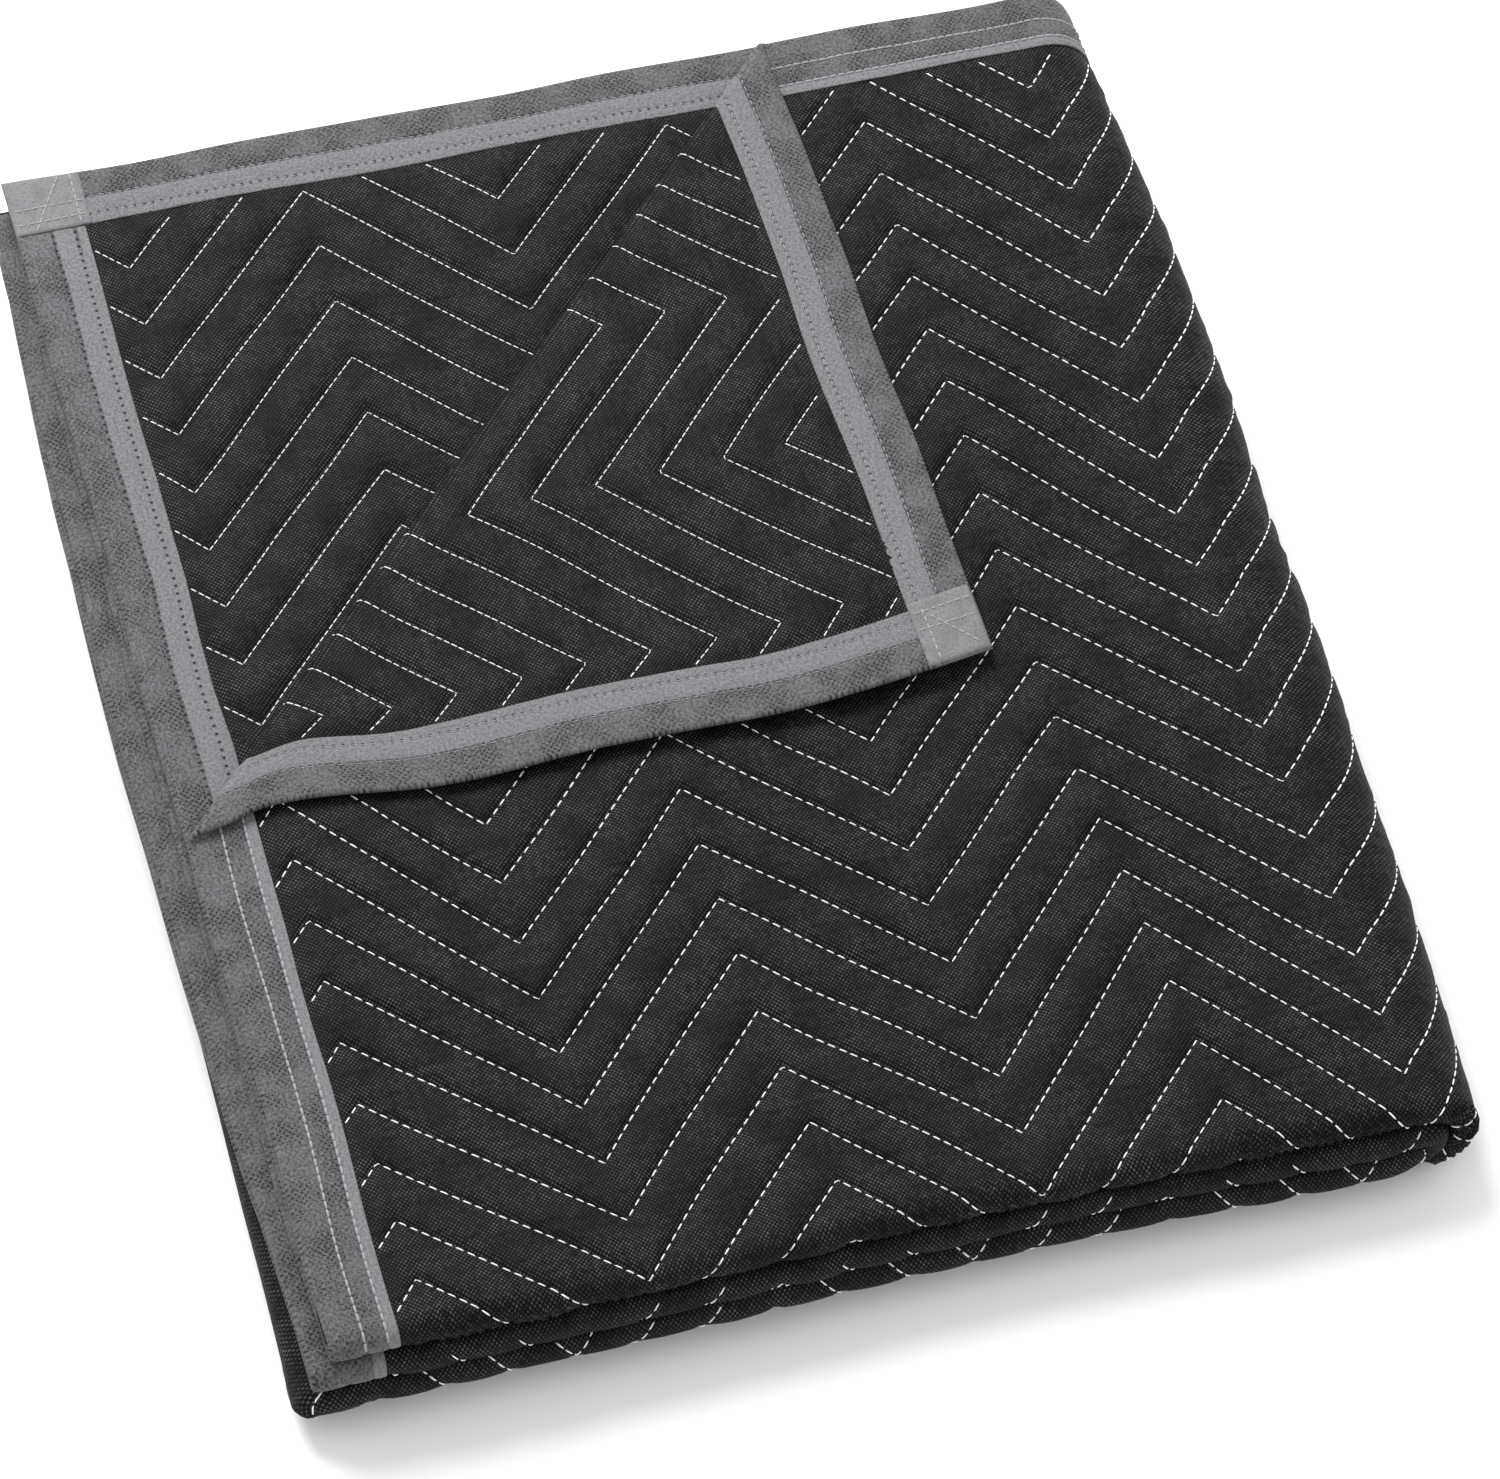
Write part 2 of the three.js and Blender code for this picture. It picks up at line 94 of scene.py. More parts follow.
@dataclass(frozen=True)
class Table:
    """A short table with named columns, read smoothly between its rows."""

    columns: tuple[str, ...]
    rows: tuple[tuple[float, ...], ...]

    def read(self, name: str, at: Array) -> Array:
        """Reads one column.

        Args:
            name: the column's name.
            at: places along the first column.

        Returns:
            The column's value at each place, level past both ends.
        """
        rows = np.array(self.rows)
        place, value = rows[:, 0], rows[:, self.columns.index(name)]
        slope = np.gradient(value, place)
        at = np.clip(at, place[0], place[-1])
        low = np.clip(np.searchsorted(place, at, "right") - 1, 0, len(place) - 2)
        span = place[low + 1] - place[low]
        t = (at - place[low]) / span
        rise = slope[low] * span * t * (1 - t) ** 2 - slope[low + 1] * span * t * t * (1 - t)
        return lerp(value[low], value[low + 1], t * t * (3 - 2 * t)) + rise

    def read_all(self, at: Array) -> list[Array]:
        """Reads every column but the first, in order."""
        return [self.read(name, at) for name in self.columns[1:]]


@dataclass(frozen=True)
class Noise:
    """Smooth seeded noise between -1 and 1."""

    seed: int
    lattice: int = 64

    def at(self, x: Array, y: Array, size: float) -> Array:
        """Reads the noise.

        Args:
            x: places one way.
            y: places the other way.
            size: how far across its bumps are.

        Returns:
            The noise at each place.
        """
        count = self.lattice
        table = np.random.default_rng(self.seed).uniform(-1, 1, (count, count))
        gx, gy = x / size, y / size
        ix, iy = np.floor(gx).astype(int), np.floor(gy).astype(int)
        tx, ty = smooth(0, 1, gx - ix), smooth(0, 1, gy - iy)
        near, far = ((table[ix % count, j % count], table[(ix + 1) % count, j % count]) for j in (iy, iy + 1))
        return lerp(lerp(*near, tx), lerp(*far, tx), ty)


class Face(Enum):
    """The two faces of the cloth: the upper one covers the pile, the under one the turned corner."""

    UPPER = 1
    UNDER = -1


@dataclass
class Leg:
    """One leg of a fold path: a straight run, or a half turn about a centre."""

    start: float
    length: float
    radius: float
    way: int
    angle: float
    forward: float
    across: float


@dataclass
class FoldPath:
    """Section of cloth folded in four: out, round a wide turn, back, round two narrow ones, out."""

    pitch: float
    runs: tuple[float, float, float, float]
    legs: list[Leg] = field(default_factory=list)

    def __post_init__(self) -> None:
        """Lays the legs one after another."""
        plan = [(self.runs[0], 0, 0), (0, 1.5 * self.pitch, -1), (self.runs[1], 0, 0),
                (0, 0.5 * self.pitch, -1), (self.runs[2], 0, 0), (0, 0.5 * self.pitch, 1),
                (self.runs[3], 0, 0)]
        start, angle, forward, across = 0.0, 0.0, 0.0, 1.5 * self.pitch
        for run, radius, way in plan:
            length = run or math.pi * radius
            self.legs.append(Leg(start, length, radius, way, angle, forward, across))
            forward += run * math.cos(angle)
            across += 2 * way * radius * math.cos(angle)
            angle += way * math.pi
            start += length

    @property
    def length(self) -> float:
        """Length of the whole path."""
        return self.legs[-1].start + self.legs[-1].length

    def at(self, along: Array, height: Array) -> tuple[Array, Array]:
        """Where a place on the path lies.

        Args:
            along: lengths along the path.
            height: heights off its face.

        Returns:
            How far forward and how far across each place lies.
        """
        ends = np.array([leg.start + leg.length for leg in self.legs[:-1]])
        which = np.searchsorted(ends, along, "left")
        forward, across = np.zeros_like(along), np.zeros_like(along)
        for i, leg in enumerate(self.legs):
            here = which == i
            step, high = along[here] - leg.start, height[here]
            if not leg.way:
                way = math.cos(leg.angle)
                forward[here] = leg.forward + step * way
                across[here] = leg.across + high * way
                continue
            angle = leg.angle + leg.way * step / leg.radius
            reach = leg.radius - leg.way * high
            centre = leg.across + leg.way * leg.radius * math.cos(leg.angle)
            forward[here] = leg.forward + leg.way * reach * np.sin(angle)
            across[here] = centre - leg.way * reach * np.cos(angle)
        return forward, across

    def stops(self, apart: float, in_turn: int) -> list[float]:
        """Lengths along the path for its mesh: close together in its turns, spread in its runs.

        Args:
            apart: how far apart they are in a straight run.
            in_turn: how many there are in a half turn.

        Returns:
            The lengths, in order.
        """
        found = []
        for leg in self.legs:
            parts = in_turn if leg.way else max(1, round(leg.length / apart))
            found += [leg.start + leg.length * i / parts for i in range(parts)]
        return found + [self.length]


@dataclass(frozen=True)
class Pile:
    """How the cloth lies: folded four by four, its top corner turned back, the pile settled."""

    ply: float = 2.6
    ply_pitch: float = 3.125
    pressed: float = 0.8
    binding: float = 25.0
    patch: float = 28.0
    depth_run: float = 511.5
    depth_off: tuple[float, ...] = (0, -5, -7, -1)
    width_run: float = 408.0
    width_off: tuple[float, ...] = (0, -8.5, -8.5, 6)
    crease_far: float = 303.0
    crease_left: float = 310.0
    crease_radius: float = 2.3
    corner_lift: float = 5.0
    full_lift_at: float = 250.0
    far_setback: float = 23.0
    lean: float = 4.0
    slide_sets_in: tuple[float, float] = (6.0, 17.0)
    setback_sets_in: tuple[float, float] = (18.5, 25.0)
    lower_sets_in: tuple[float, float] = (23.3, 26.2)
    origin_across: float = 210.77
    origin_depth: float = 259.29
    rest: float = 0.6
    swell: float = 0.9
    swell_size: float = 170.0
    swell_shift: float = 500.0
    warp: float = 1.0
    warp_size: float = 48.0
    shift_sets_in: tuple[float, float] = (250.0, 500.0)
    shift_ends: tuple[float, float] = (392.0, 424.0)
    wave_sets_in: tuple[float, float] = (2.0, 25.0)
    wave_dies_out: tuple[float, float] = (35.0, 120.0)
    turned_wave: Table = Table(
        ("at", "inward"),
        ((0, 1), (25, -2), (78, -6), (147, -2), (217, -2), (279, 4.6), (300, 1), (312, 0)))
    near_steps: tuple[tuple[float, float, float], ...] = (
        (10.7, 13.8, 3.6), (23.2, 26.3, 2.2), (35.7, 38.8, -9.8))
    down_depth: Table = Table(
        ("at", "second", "lower", "right", "near"),
        ((0, 0, 0, 7, 0), (128, 5, 2.5, 0, 0), (256, 7, 5, 0, 0), (384, 5, 7.5, 0, 0.25),
         (511.5, 0, 10, 5, 1)))
    across_width: Table = Table(
        ("at", "slide", "drawn", "recess", "wave", "thin"),
        ((0, 1, 0, 1, 3, 0), (109.4, 0.75, 0, 0.8, 1, 0.04), (253.4, 0.4, 0, 0.5, -3, 0.1),
         (397.4, 0.1, 0.5, 0.2, -1, 0.09), (432.74, 0, 1, 0.2, 0, 0.08)))

    @property
    def depth_path(self) -> FoldPath:
        """The folds down the length of the cloth."""
        return FoldPath(self.ply_pitch, tuple(self.depth_run + off for off in self.depth_off))

    @property
    def width_path(self) -> FoldPath:
        """The folds across the width of the cloth."""
        return FoldPath(FOLDED * self.ply_pitch, tuple(self.width_run + off for off in self.width_off))

    @property
    def stack(self) -> float:
        """Half the height of the pile."""
        return (FOLDED ** 2 - 1) / 2 * self.ply_pitch + self.ply / 2

    @property
    def reach(self) -> float:
        """How far the turned corner reaches past its crease."""
        return self.crease_far * self.crease_left / math.hypot(self.crease_far, self.crease_left)

    def past_crease(self, u: Array, v: Array) -> Array:
        """How far past the crease, towards the turned corner, places of the flat cloth lie."""
        return (1 - u / self.crease_far - v / self.crease_left) * self.reach

    def turn_corner(self, u: Array, v: Array, n: Array) -> tuple[Array, Array, Array]:
        """Rolls the corner up over its crease and lays it back, lifting towards its tip.

        Args:
            u: places across the flat cloth.
            v: places along it.
            n: heights off the middle of the cloth.

        Returns:
            The same three for each place, once the corner is turned.
        """
        past = self.past_crease(u, v)
        wave = self.turned_wave.read("inward", v) * smooth(*self.wave_sets_in, past)
        wave = wave * (1 - smooth(*self.wave_dies_out, u))
        angle = np.clip(past / self.crease_radius, 0, math.pi)
        back = np.maximum(past - math.pi * self.crease_radius, 0)
        move = (self.crease_radius - n) * np.sin(angle) - back - np.maximum(past, 0)
        freer = 1 - smooth(0, self.full_lift_at, u) / 2
        lift = self.corner_lift * smooth(0, self.reach, back) * freer
        height = self.crease_radius * (1 - np.cos(angle)) + n * np.cos(angle) + lift
        span = math.hypot(self.crease_far, self.crease_left)
        return (u - self.crease_left / span * move, v - self.crease_far / span * move - wave, height)

    def settle(self, x: Array, depth: Array, z: Array, level: Array) -> Array:
        """Slides the plies as the pile settles, and presses the lowest one flat on the floor.

        Args:
            x: places across the pile.
            depth: places down from its far edge.
            z: heights.
            level: height of the middle of the ply that each place is on.

        Returns:
            The settled places in metres, in the frame of the part.
        """
        down = 2 * self.stack - level
        second, lower, right, near = self.down_depth.read_all(depth)
        slides, drawn, recessed, wave, thin = self.across_width.read_all(x)
        slid = lerp(second, lower, smooth(*self.lower_sets_in, down))
        slide = smooth(*self.slide_sets_in, down) * slid - self.lean * depth / self.depth_run
        setback = self.far_setback * smooth(*self.setback_sets_in, down)
        recess = setback * (1 - depth / self.depth_run) * recessed
        nearer = sum(step * smooth(low, high, down) for low, high, step in self.near_steps)
        nearer = nearer * smooth(*self.shift_sets_in, depth) * (1 - smooth(*self.shift_ends, x))
        swell_at = (x + self.swell_shift, depth + self.swell_shift)
        swell = self.swell * Noise(Seed.SWELL).at(*swell_at, self.swell_size)
        height = z * (1 - near * thin) + swell * np.clip(level / self.stack / 2, 0, 1)
        pressed = self.rest * np.exp(np.minimum(height / self.rest - 1, 0))
        settled = np.stack([
            x - slide * slides - right * drawn - self.origin_across,
            self.origin_depth - depth - recess - near * wave - nearer,
            np.where(height < self.rest, pressed, height)], -1)
        return settled * MM

    def place(self, u: Array, v: Array, n: Array) -> Array:
        """Carries places of the flat cloth to where they lie in the folded pad.

        Args:
            u: places across the flat cloth.
            v: places along it.
            n: heights off the middle of the cloth.

        Returns:
            The places in metres, in the frame of the part.
        """
        u, v, n = np.broadcast_arrays(*(np.asarray(value, float) for value in (u, v, n)))
        across, along = (Noise(seed).at(u, v, self.warp_size) for seed in (Seed.WARP_ACROSS, Seed.WARP_ALONG))
        u, v = u + self.warp * across, v + self.warp * along
        turned_u, turned_v, height = self.turn_corner(u, v, n)
        depth, low = self.depth_path.at(turned_v, height)
        x, z = self.width_path.at(turned_u, low)
        _, middle = self.depth_path.at(turned_v, np.zeros_like(height))
        _, level = self.width_path.at(turned_u, middle)
        return self.settle(x, depth, z + self.stack, level + self.stack)


PILE = Pile()
WIDTH = PILE.width_path.length
LENGTH = PILE.depth_path.length


@dataclass(frozen=True)
class Stretch:
    """One stretch of even seams: where one of them starts, and how far apart they are."""

    seam: float
    spacing: float


@dataclass(frozen=True)
class Quilting:
    """Zigzag seams, one beside the next, with their corners in columns down the cloth.

    A place on the quilting is given by across, where it would lie on even zigzags, and row, which
    is the same all along one seam.
    """

    column: float = 37.4
    half: float = 72.0
    rise: float = 74.0
    main: Stretch = Stretch(22.2, 24.96)
    beneath: Stretch = Stretch(LENGTH - 76, 26.6)
    drift_columns: int = 6
    across_drift: Table = Table(
        ("row", "0", "1", "2", "3", "4", "5"),
        ((22, 0, 0, 0, 0, 3.6, -1.4), (172, -1.4, -1, -1, -0.8, -1.3, -6.1),
         (322, -2.9, -2.9, -2.2, 0, -3.9, -1.1), (422, -4.7, 4, 0.5, 7.1, 3.2, 7),
         (496, -1.4, 8.6, 8.8, 10.6, 8.6, 9.6)))
    along_drift: Table = Table(
        ("row", "0", "1", "2", "3", "4", "5"),
        ((22, 0, 0, 0, 0, -3, -2), (172, -1.5, 0, 0, 0, -0.5, 2),
         (322, -0.7, 2, 3.1, -1.3, 3.7, 1.6), (422, 2.5, -4.3, -1, -2.9, -2.6, 4.6),
         (496, 0, -5, -2.8, -3, -1.3, 5)))
    wander: float = 0.5
    wander_size: float = 22.0
    wander_stretch: float = 3.0
    sweep: float = 26.0
    swept: tuple[float, float] = (404.0, 462.0)
    rounds: int = 6

    def stretch_of(self, row: Array) -> tuple[Array, Array]:
        """First seam and spacing of the stretch that each row belongs to.

        Args:
            row: quilting rows.

        Returns:
            The two numbers at each row.
        """
        late = row > LENGTH / 2
        return (np.where(late, self.beneath.seam, self.main.seam),
                np.where(late, self.beneath.spacing, self.main.spacing))

    def drift(self, table: Table, across: Array, row: Array) -> Array:
        """How far the seams stray from even zigzags at each place.

        Args:
            table: the drift at each column of corners.
            across: places across even zigzags.
            row: quilting rows.

        Returns:
            The drift at each place, none on the ply beneath.
        """
        knots = [0] + [self.column + i * self.half for i in range(self.drift_columns + 1)]
        values = [table.read(str(i), row) for i in range(self.drift_columns)]
        values = [np.zeros_like(across), *values, np.zeros_like(across)]
        total = np.zeros_like(across)
        for low, high, start, end in zip(knots, knots[1:], values, values[1:]):
            here = (across >= low) & (across < high)
            total = np.where(here, lerp(start, end, (across - low) / (high - low)), total)
        return total * (row < LENGTH / 2)

    def stray(self, across: Array, row: Array) -> tuple[Array, Array]:
        """How far a place on the quilting lies from even straight rows, both ways.

        Args:
            across: places across even zigzags.
            row: quilting rows.

        Returns:
            How far across and how far down each place is carried.
        """
        turn = (across - self.column) / self.half
        zigzag = np.abs(turn - 2 * np.round(turn / 2))
        wander = self.wander * Noise(Seed.WANDER).at(across, row * self.wander_stretch, self.wander_size)
        down = self.rise * zigzag + self.drift(self.along_drift, across, row) + wander
        down = down - self.sweep * smooth(*self.swept, across)
        return self.drift(self.across_drift, across, row), down

    def flat(self, across: Array, row: Array, share: Array | float = 1.0) -> tuple[Array, Array]:
        """Where a place on the quilting lies on the flat cloth.

        Args:
            across: places across even zigzags.
            row: rows, the same all along one seam.
            share: how much of the zigzag is followed, from 0 for straight rows to 1.

        Returns:
            u and v of each place, v not yet held to the cloth.
        """
        across, row = np.broadcast_arrays(np.asarray(across, float), np.asarray(row, float))
        aside, down = self.stray(across, row)
        return across + share * aside, row + share * down

    def row_at(self, u: Array, v: Array) -> Array:
        """The quilting row of each place of the flat cloth.

        Args:
            u: places across the flat cloth.
            v: places along it.

        Returns:
            The rows.
        """
        across, row = u, v
        for _ in range(self.rounds):
            aside, down = self.stray(across, row)
            across, row = u - aside, v - down
        return np.where(v > LENGTH / 2, np.maximum(row, LENGTH / 2 + 1), row)


QUILTING = Quilting()


@dataclass(frozen=True)
class Relief:
    """How thick the quilted cloth is: pressed in its binding, drawn in at a seam, full between."""

    crest: float = 1.25
    hidden_crest: float = 0.1
    seam_depth: float = 1.0
    hidden_seam_depth: float = 0.4
    seam_width: float = 1.5
    fullness: float = 2.2
    dent: float = 0.75
    dent_size: float = 24.0
    hollow: float = 0.7
    hollow_size: float = 62.0
    ripple: float = 0.8
    ripple_size: float = 5.6
    ripple_stretch: float = 8.0
    pucker: float = 0.16
    pucker_size: float = 3.6
    pucker_stretch: float = 2.5
    ripple_bend: float = 5.0
    bend_size: float = 30.0
    ripple_even: float = 0.55
    ripple_patchy: float = 0.45
    patchy_size: float = 16.0
    fold_opens: tuple[float, float] = (-50.0, 5.0)
    fold_closes: tuple[float, float] = (470.0, 480.0)
    fold_flattens: float = 0.82
    fold_shallows: float = 0.65
    corner_across: float = 306.0
    corner_along: float = 312.0
    corner_ease: float = 8.0
    turned_ease: float = 10.0
    near_fades: float = 6.0
    turn_opens: float = 5.0
    turn_closes: float = 4.0
    turn_share: float = 0.6
    right_fades: float = 30.0
    swells: tuple[float, float] = (23.0, 33.0)

    def bared(self, u: Array, v: Array, face: Face) -> Array:
        """How openly a face of the cloth lies.

        Args:
            u: places across the flat cloth.
            v: places along it.
            face: the face asked about.

        Returns:
            From 0 between plies to 1 in the open, at each place.
        """
        past = PILE.past_crease(u, v)
        ease = self.turned_ease
        if face is Face.UNDER:
            roll = math.pi * PILE.crease_radius
            turned = smooth(roll, roll + ease, past)
            beneath = smooth(0, ease, PILE.past_crease(u, LENGTH - v)) * (v > LENGTH / 2)
            return np.maximum(turned, beneath)
        near, right = PILE.depth_path.legs[1], PILE.width_path.legs[1]
        end = near.start + near.length
        under_corner = 1 - smooth(self.corner_across - self.corner_ease, self.corner_across, u)
        under_corner *= 1 - smooth(self.corner_along - self.corner_ease, self.corner_along, v)
        top = (1 - under_corner) * (1 - smooth(near.start + self.near_fades, end, v))
        in_turn = smooth(near.start - self.turn_opens, near.start, v)
        in_turn = in_turn * (1 - smooth(end - self.turn_closes, end, v))
        past_right = smooth(right.start + self.right_fades, right.start + right.length, u)
        return lerp(top, self.turn_share * in_turn, past_right)

    def round_fold(self, u: Array) -> Array:
        """How near the wide fold each place lies, from 0 to 1."""
        low, high = (PILE.width_path.legs[1].start + off for off in self.fold_opens)
        return smooth(low, high, u) * (1 - smooth(*self.fold_closes, u))

    def ripples(self, u: Array, v: Array) -> Array:
        """Fine wrinkles that run round the wide fold, and puckers all over.

        Args:
            u: places across the flat cloth.
            v: places along it.

        Returns:
            Their height at each place.
        """
        bend = self.ripple_bend * Noise(Seed.BEND).at(u, v, self.bend_size)
        fine = Noise(Seed.RIPPLE).at(u / self.ripple_stretch, v + bend, self.ripple_size)
        small = Noise(Seed.PUCKER).at(u / self.pucker_stretch, v + u / 4, self.pucker_size)
        patchy = self.ripple_even + self.ripple_patchy * Noise(Seed.PATCHY).at(u / 2, v, self.patchy_size)
        return self.ripple * fine * patchy * self.round_fold(u) + self.pucker * small

    def half(self, u: Array, v: Array, face: Face) -> Array:
        """Half the thickness of the cloth, towards one face.

        Args:
            u: places across the flat cloth.
            v: places along it.
            face: the face that it is measured to.

        Returns:
            The height of that face off the middle of the cloth at each place.
        """
        row = QUILTING.row_at(u, v)
        seam, spacing = QUILTING.stretch_of(row)
        turn = (row - seam) / spacing
        from_seam = np.abs(turn - np.round(turn))
        bared, fold = self.bared(u, v, face), self.round_fold(u)
        level = lerp(self.hidden_crest, self.crest, bared) * (1 - self.fold_flattens * fold)
        depth = lerp(self.hidden_seam_depth, self.seam_depth, bared) * (1 - self.fold_shallows * fold)
        pillow = 1 - (1 - 2 * from_seam) ** self.fullness
        groove = np.exp(-((from_seam * spacing * 0.7 / self.seam_width) ** 2))
        dents = self.dent * Noise(Seed.DENT + face.value).at(u, v + u / 3, self.dent_size)
        hollows = self.hollow * Noise(Seed.HOLLOW + face.value).at(u, v, self.hollow_size) * bared
        full = PILE.ply / 2 + level * pillow * (1 + dents) - depth * groove + hollows
        full += self.ripples(u, v) * bared * (1 - 0.7 * groove)
        edge = np.minimum(np.minimum(u, WIDTH - u), np.minimum(v, LENGTH - v))
        return lerp(PILE.pressed / 2, full, smooth(*self.swells, edge))


RELIEF = Relief()


class Finish:
    """A procedural material, built up from nodes."""

    def __init__(self, name: str) -> None:
        """Starts an empty material with a shader and an output.

        Args:
            name: name of the material.
        """
        self.material = bpy.data.materials.new(name)
        self.material.use_nodes = True
        self.tree = self.material.node_tree
        self.tree.nodes.clear()
        self.shader = self.node("ShaderNodeBsdfPrincipled")
        output = self.node("ShaderNodeOutputMaterial")
        self.tree.links.new(self.shader.outputs[0], output.inputs["Surface"])

    def node(self, kind: str, **settings: object) -> bpy.types.Node:
        """Adds one node with the given settings.

        Args:
            kind: type of the node.
            settings: its settings.

        Returns:
            The node.
        """
        made = self.tree.nodes.new(kind)
        for name, value in settings.items():
            setattr(made, name, value)
        return made

    def put(self, socket: Socket, value: object) -> None:
        """Links an output to a socket, or sets the socket to a number or colour.

        Args:
            socket: the input.
            value: what it is given.
        """
        if isinstance(value, Socket):
            self.tree.links.new(value, socket)
        else:
            socket.default_value = value

    def math(self, operation: str, *values: object, clamp: bool = False) -> Socket:
        """One Math node on up to three values.

        Args:
            operation: what it does.
            values: outputs or numbers.
            clamp: whether it is held between 0 and 1.

        Returns:
            Its output.
        """
        made = self.node("ShaderNodeMath", operation=operation, use_clamp=clamp)
        for socket, value in zip(made.inputs, values):
            self.put(socket, value)
        return made.outputs[0]

    def blend(self, share: Socket, start: object, end: object) -> Socket:
        """Blends two values by a share.

        Args:
            share: how much of the end.
            start: value at 0.
            end: value at 1.

        Returns:
            The blend.
        """
        made = self.node("ShaderNodeMix", data_type="FLOAT")
        for socket, value in zip((made.inputs[0], made.inputs[2], made.inputs[3]), (share, start, end)):
            self.put(socket, value)
        return made.outputs[0]

    def dots(self, across: Socket, along: Socket, pitch: float) -> Socket:
        """Staggered dots, from 1 in the middle of one to -1 between them.

        Args:
            across: place one way.
            along: place the other way.
            pitch: how far apart they are.

        Returns:
            The dots.
        """
        turn = 2 * math.pi / pitch
        waves = [self.math("COSINE", self.math("MULTIPLY", part, turn)) for part in (across, along)]
        return self.math("MULTIPLY", *waves)

    def flat_places(self) -> tuple[Socket, Socket, Socket]:
        """The place on the flat cloth in millimetres: as a vector, across and along.

        Returns:
            The three outputs.
        """
        coordinates = self.node("ShaderNodeTexCoord")
        scaled = self.node("ShaderNodeVectorMath", operation="SCALE")
        self.put(scaled.inputs[0], coordinates.outputs["UV"])
        scaled.inputs["Scale"].default_value = 1 / MM
        parts = self.node("ShaderNodeSeparateXYZ")
        self.put(parts.inputs[0], scaled.outputs[0])
        return scaled.outputs[0], parts.outputs[0], parts.outputs[1]

    def noise(self, places: Socket, size: float, detail: float = 2.0,
              stretch: tuple[float, float, float] = (1, 1, 1)) -> Socket:
        """Noise with bumps about size millimetres across, stretched along an axis if asked.

        Args:
            places: where it is read.
            size: how far across its bumps are.
            detail: its finer layers.
            stretch: how much longer they are along each axis.

        Returns:
            The noise, from 0 to 1.
        """
        mapping = self.node("ShaderNodeMapping")
        self.put(mapping.inputs["Vector"], places)
        mapping.inputs["Scale"].default_value = [1 / size / part for part in stretch]
        made = self.node("ShaderNodeTexNoise")
        self.put(made.inputs["Vector"], mapping.outputs[0])
        made.inputs["Scale"].default_value = 1
        made.inputs["Detail"].default_value = detail
        return made.outputs["Fac"]

    def ramp(self, value: Socket, low: float, high: float,
             start: float = 0.0, end: float = 1.0) -> Socket:
        """Carries a value between low and high to one between start and end, held at both.

        Args:
            value: what is carried.
            low: where the ramp starts.
            high: where it ends.
            start: result at its start.
            end: result at its end.

        Returns:
            The result.
        """
        made = self.node("ShaderNodeMapRange", interpolation_type="SMOOTHSTEP")
        for name, number in zip(("From Min", "From Max", "To Min", "To Max"), (low, high, start, end)):
            made.inputs[name].default_value = number
        self.put(made.inputs["Value"], value)
        return made.outputs[0]

    def mix(self, share: Socket, dark: tuple[float, float, float],
            light: tuple[float, float, float]) -> Socket:
        """Mixes two colours by a share.

        Args:
            share: how much of the light one.
            dark: colour at 0.
            light: colour at 1.

        Returns:
            The colour.
        """
        made = self.node("ShaderNodeMix", data_type="RGBA")
        self.put(made.inputs[0], share)
        made.inputs[6].default_value = (*dark, 1)
        made.inputs[7].default_value = (*light, 1)
        return made.outputs[2]

    def bump(self, height: Socket, depth: float) -> None:
        """Raises the surface by height times depth in millimetres.

        Args:
            height: the height.
            depth: what a height of 1 stands for.
        """
        made = self.node("ShaderNodeBump")
        made.inputs["Distance"].default_value = depth * MM
        self.put(made.inputs["Height"], height)
        self.put(self.shader.inputs["Normal"], made.outputs[0])

    def colour(self, share: Socket, dark: tuple[float, float, float],
               light: tuple[float, float, float]) -> None:
        """Colours the surface by a share from dark to light."""
        self.put(self.shader.inputs["Base Color"], self.mix(share, dark, light))

    def surface(self, roughness: float, sheen: float, gloss: float) -> None:
        """Sets the even values of a dry cloth.

        Args:
            roughness: how rough it is.
            sheen: how much fuzz it shows.
            gloss: how much it mirrors.
        """
        self.shader.inputs["Roughness"].default_value = roughness
        self.shader.inputs["Sheen Weight"].default_value = sheen
        self.shader.inputs["Sheen Roughness"].default_value = 0.5
        self.shader.inputs["Specular IOR Level"].default_value = gloss


@dataclass(frozen=True)
class QuiltedCloth:
    """Matte black cloth in a fine dotted weave, creased along its seams."""

    thread: float = 1.75
    dark: tuple[float, float, float] = (0.0012, 0.0012, 0.0014)
    light: tuple[float, float, float] = (0.1, 0.1, 0.104)

    def make(self) -> Material:
        """Builds the material.

        Returns:
            The material.
        """
        finish = Finish("black_quilted_cloth")
        places, across, along = finish.flat_places()
        dots = finish.dots(across, along, self.thread)
        uneven = finish.ramp(finish.noise(places, 2.2, 3.0), 0.3, 0.7, 0.2, 1.0)
        # Random patches where the dots show brighter or fainter.
        dot_patches = finish.ramp(finish.noise(places, 16, 3.0), 0.3, 0.72, 0.32, 1.0)
        specks = finish.math("MULTIPLY", finish.ramp(dots, -0.1, 0.95), uneven)
        share = finish.math("MULTIPLY", specks, dot_patches)
        finish.colour(share, self.dark, self.light)
        finish.surface(0.66, 0.0, 0.1)
        crease = finish.noise(places, 4.5, 2.0, (5, 1, 1))
        slanted = finish.noise(places, 6, 3.0, (1, 2.2, 1))
        soft = finish.math("ADD", finish.math("MULTIPLY", crease, 1.3), slanted)
        weave = finish.math("MULTIPLY", finish.math("MULTIPLY", dots, 0.16), uneven)
        finish.bump(finish.math("ADD", soft, weave), 0.75)
        return finish.material


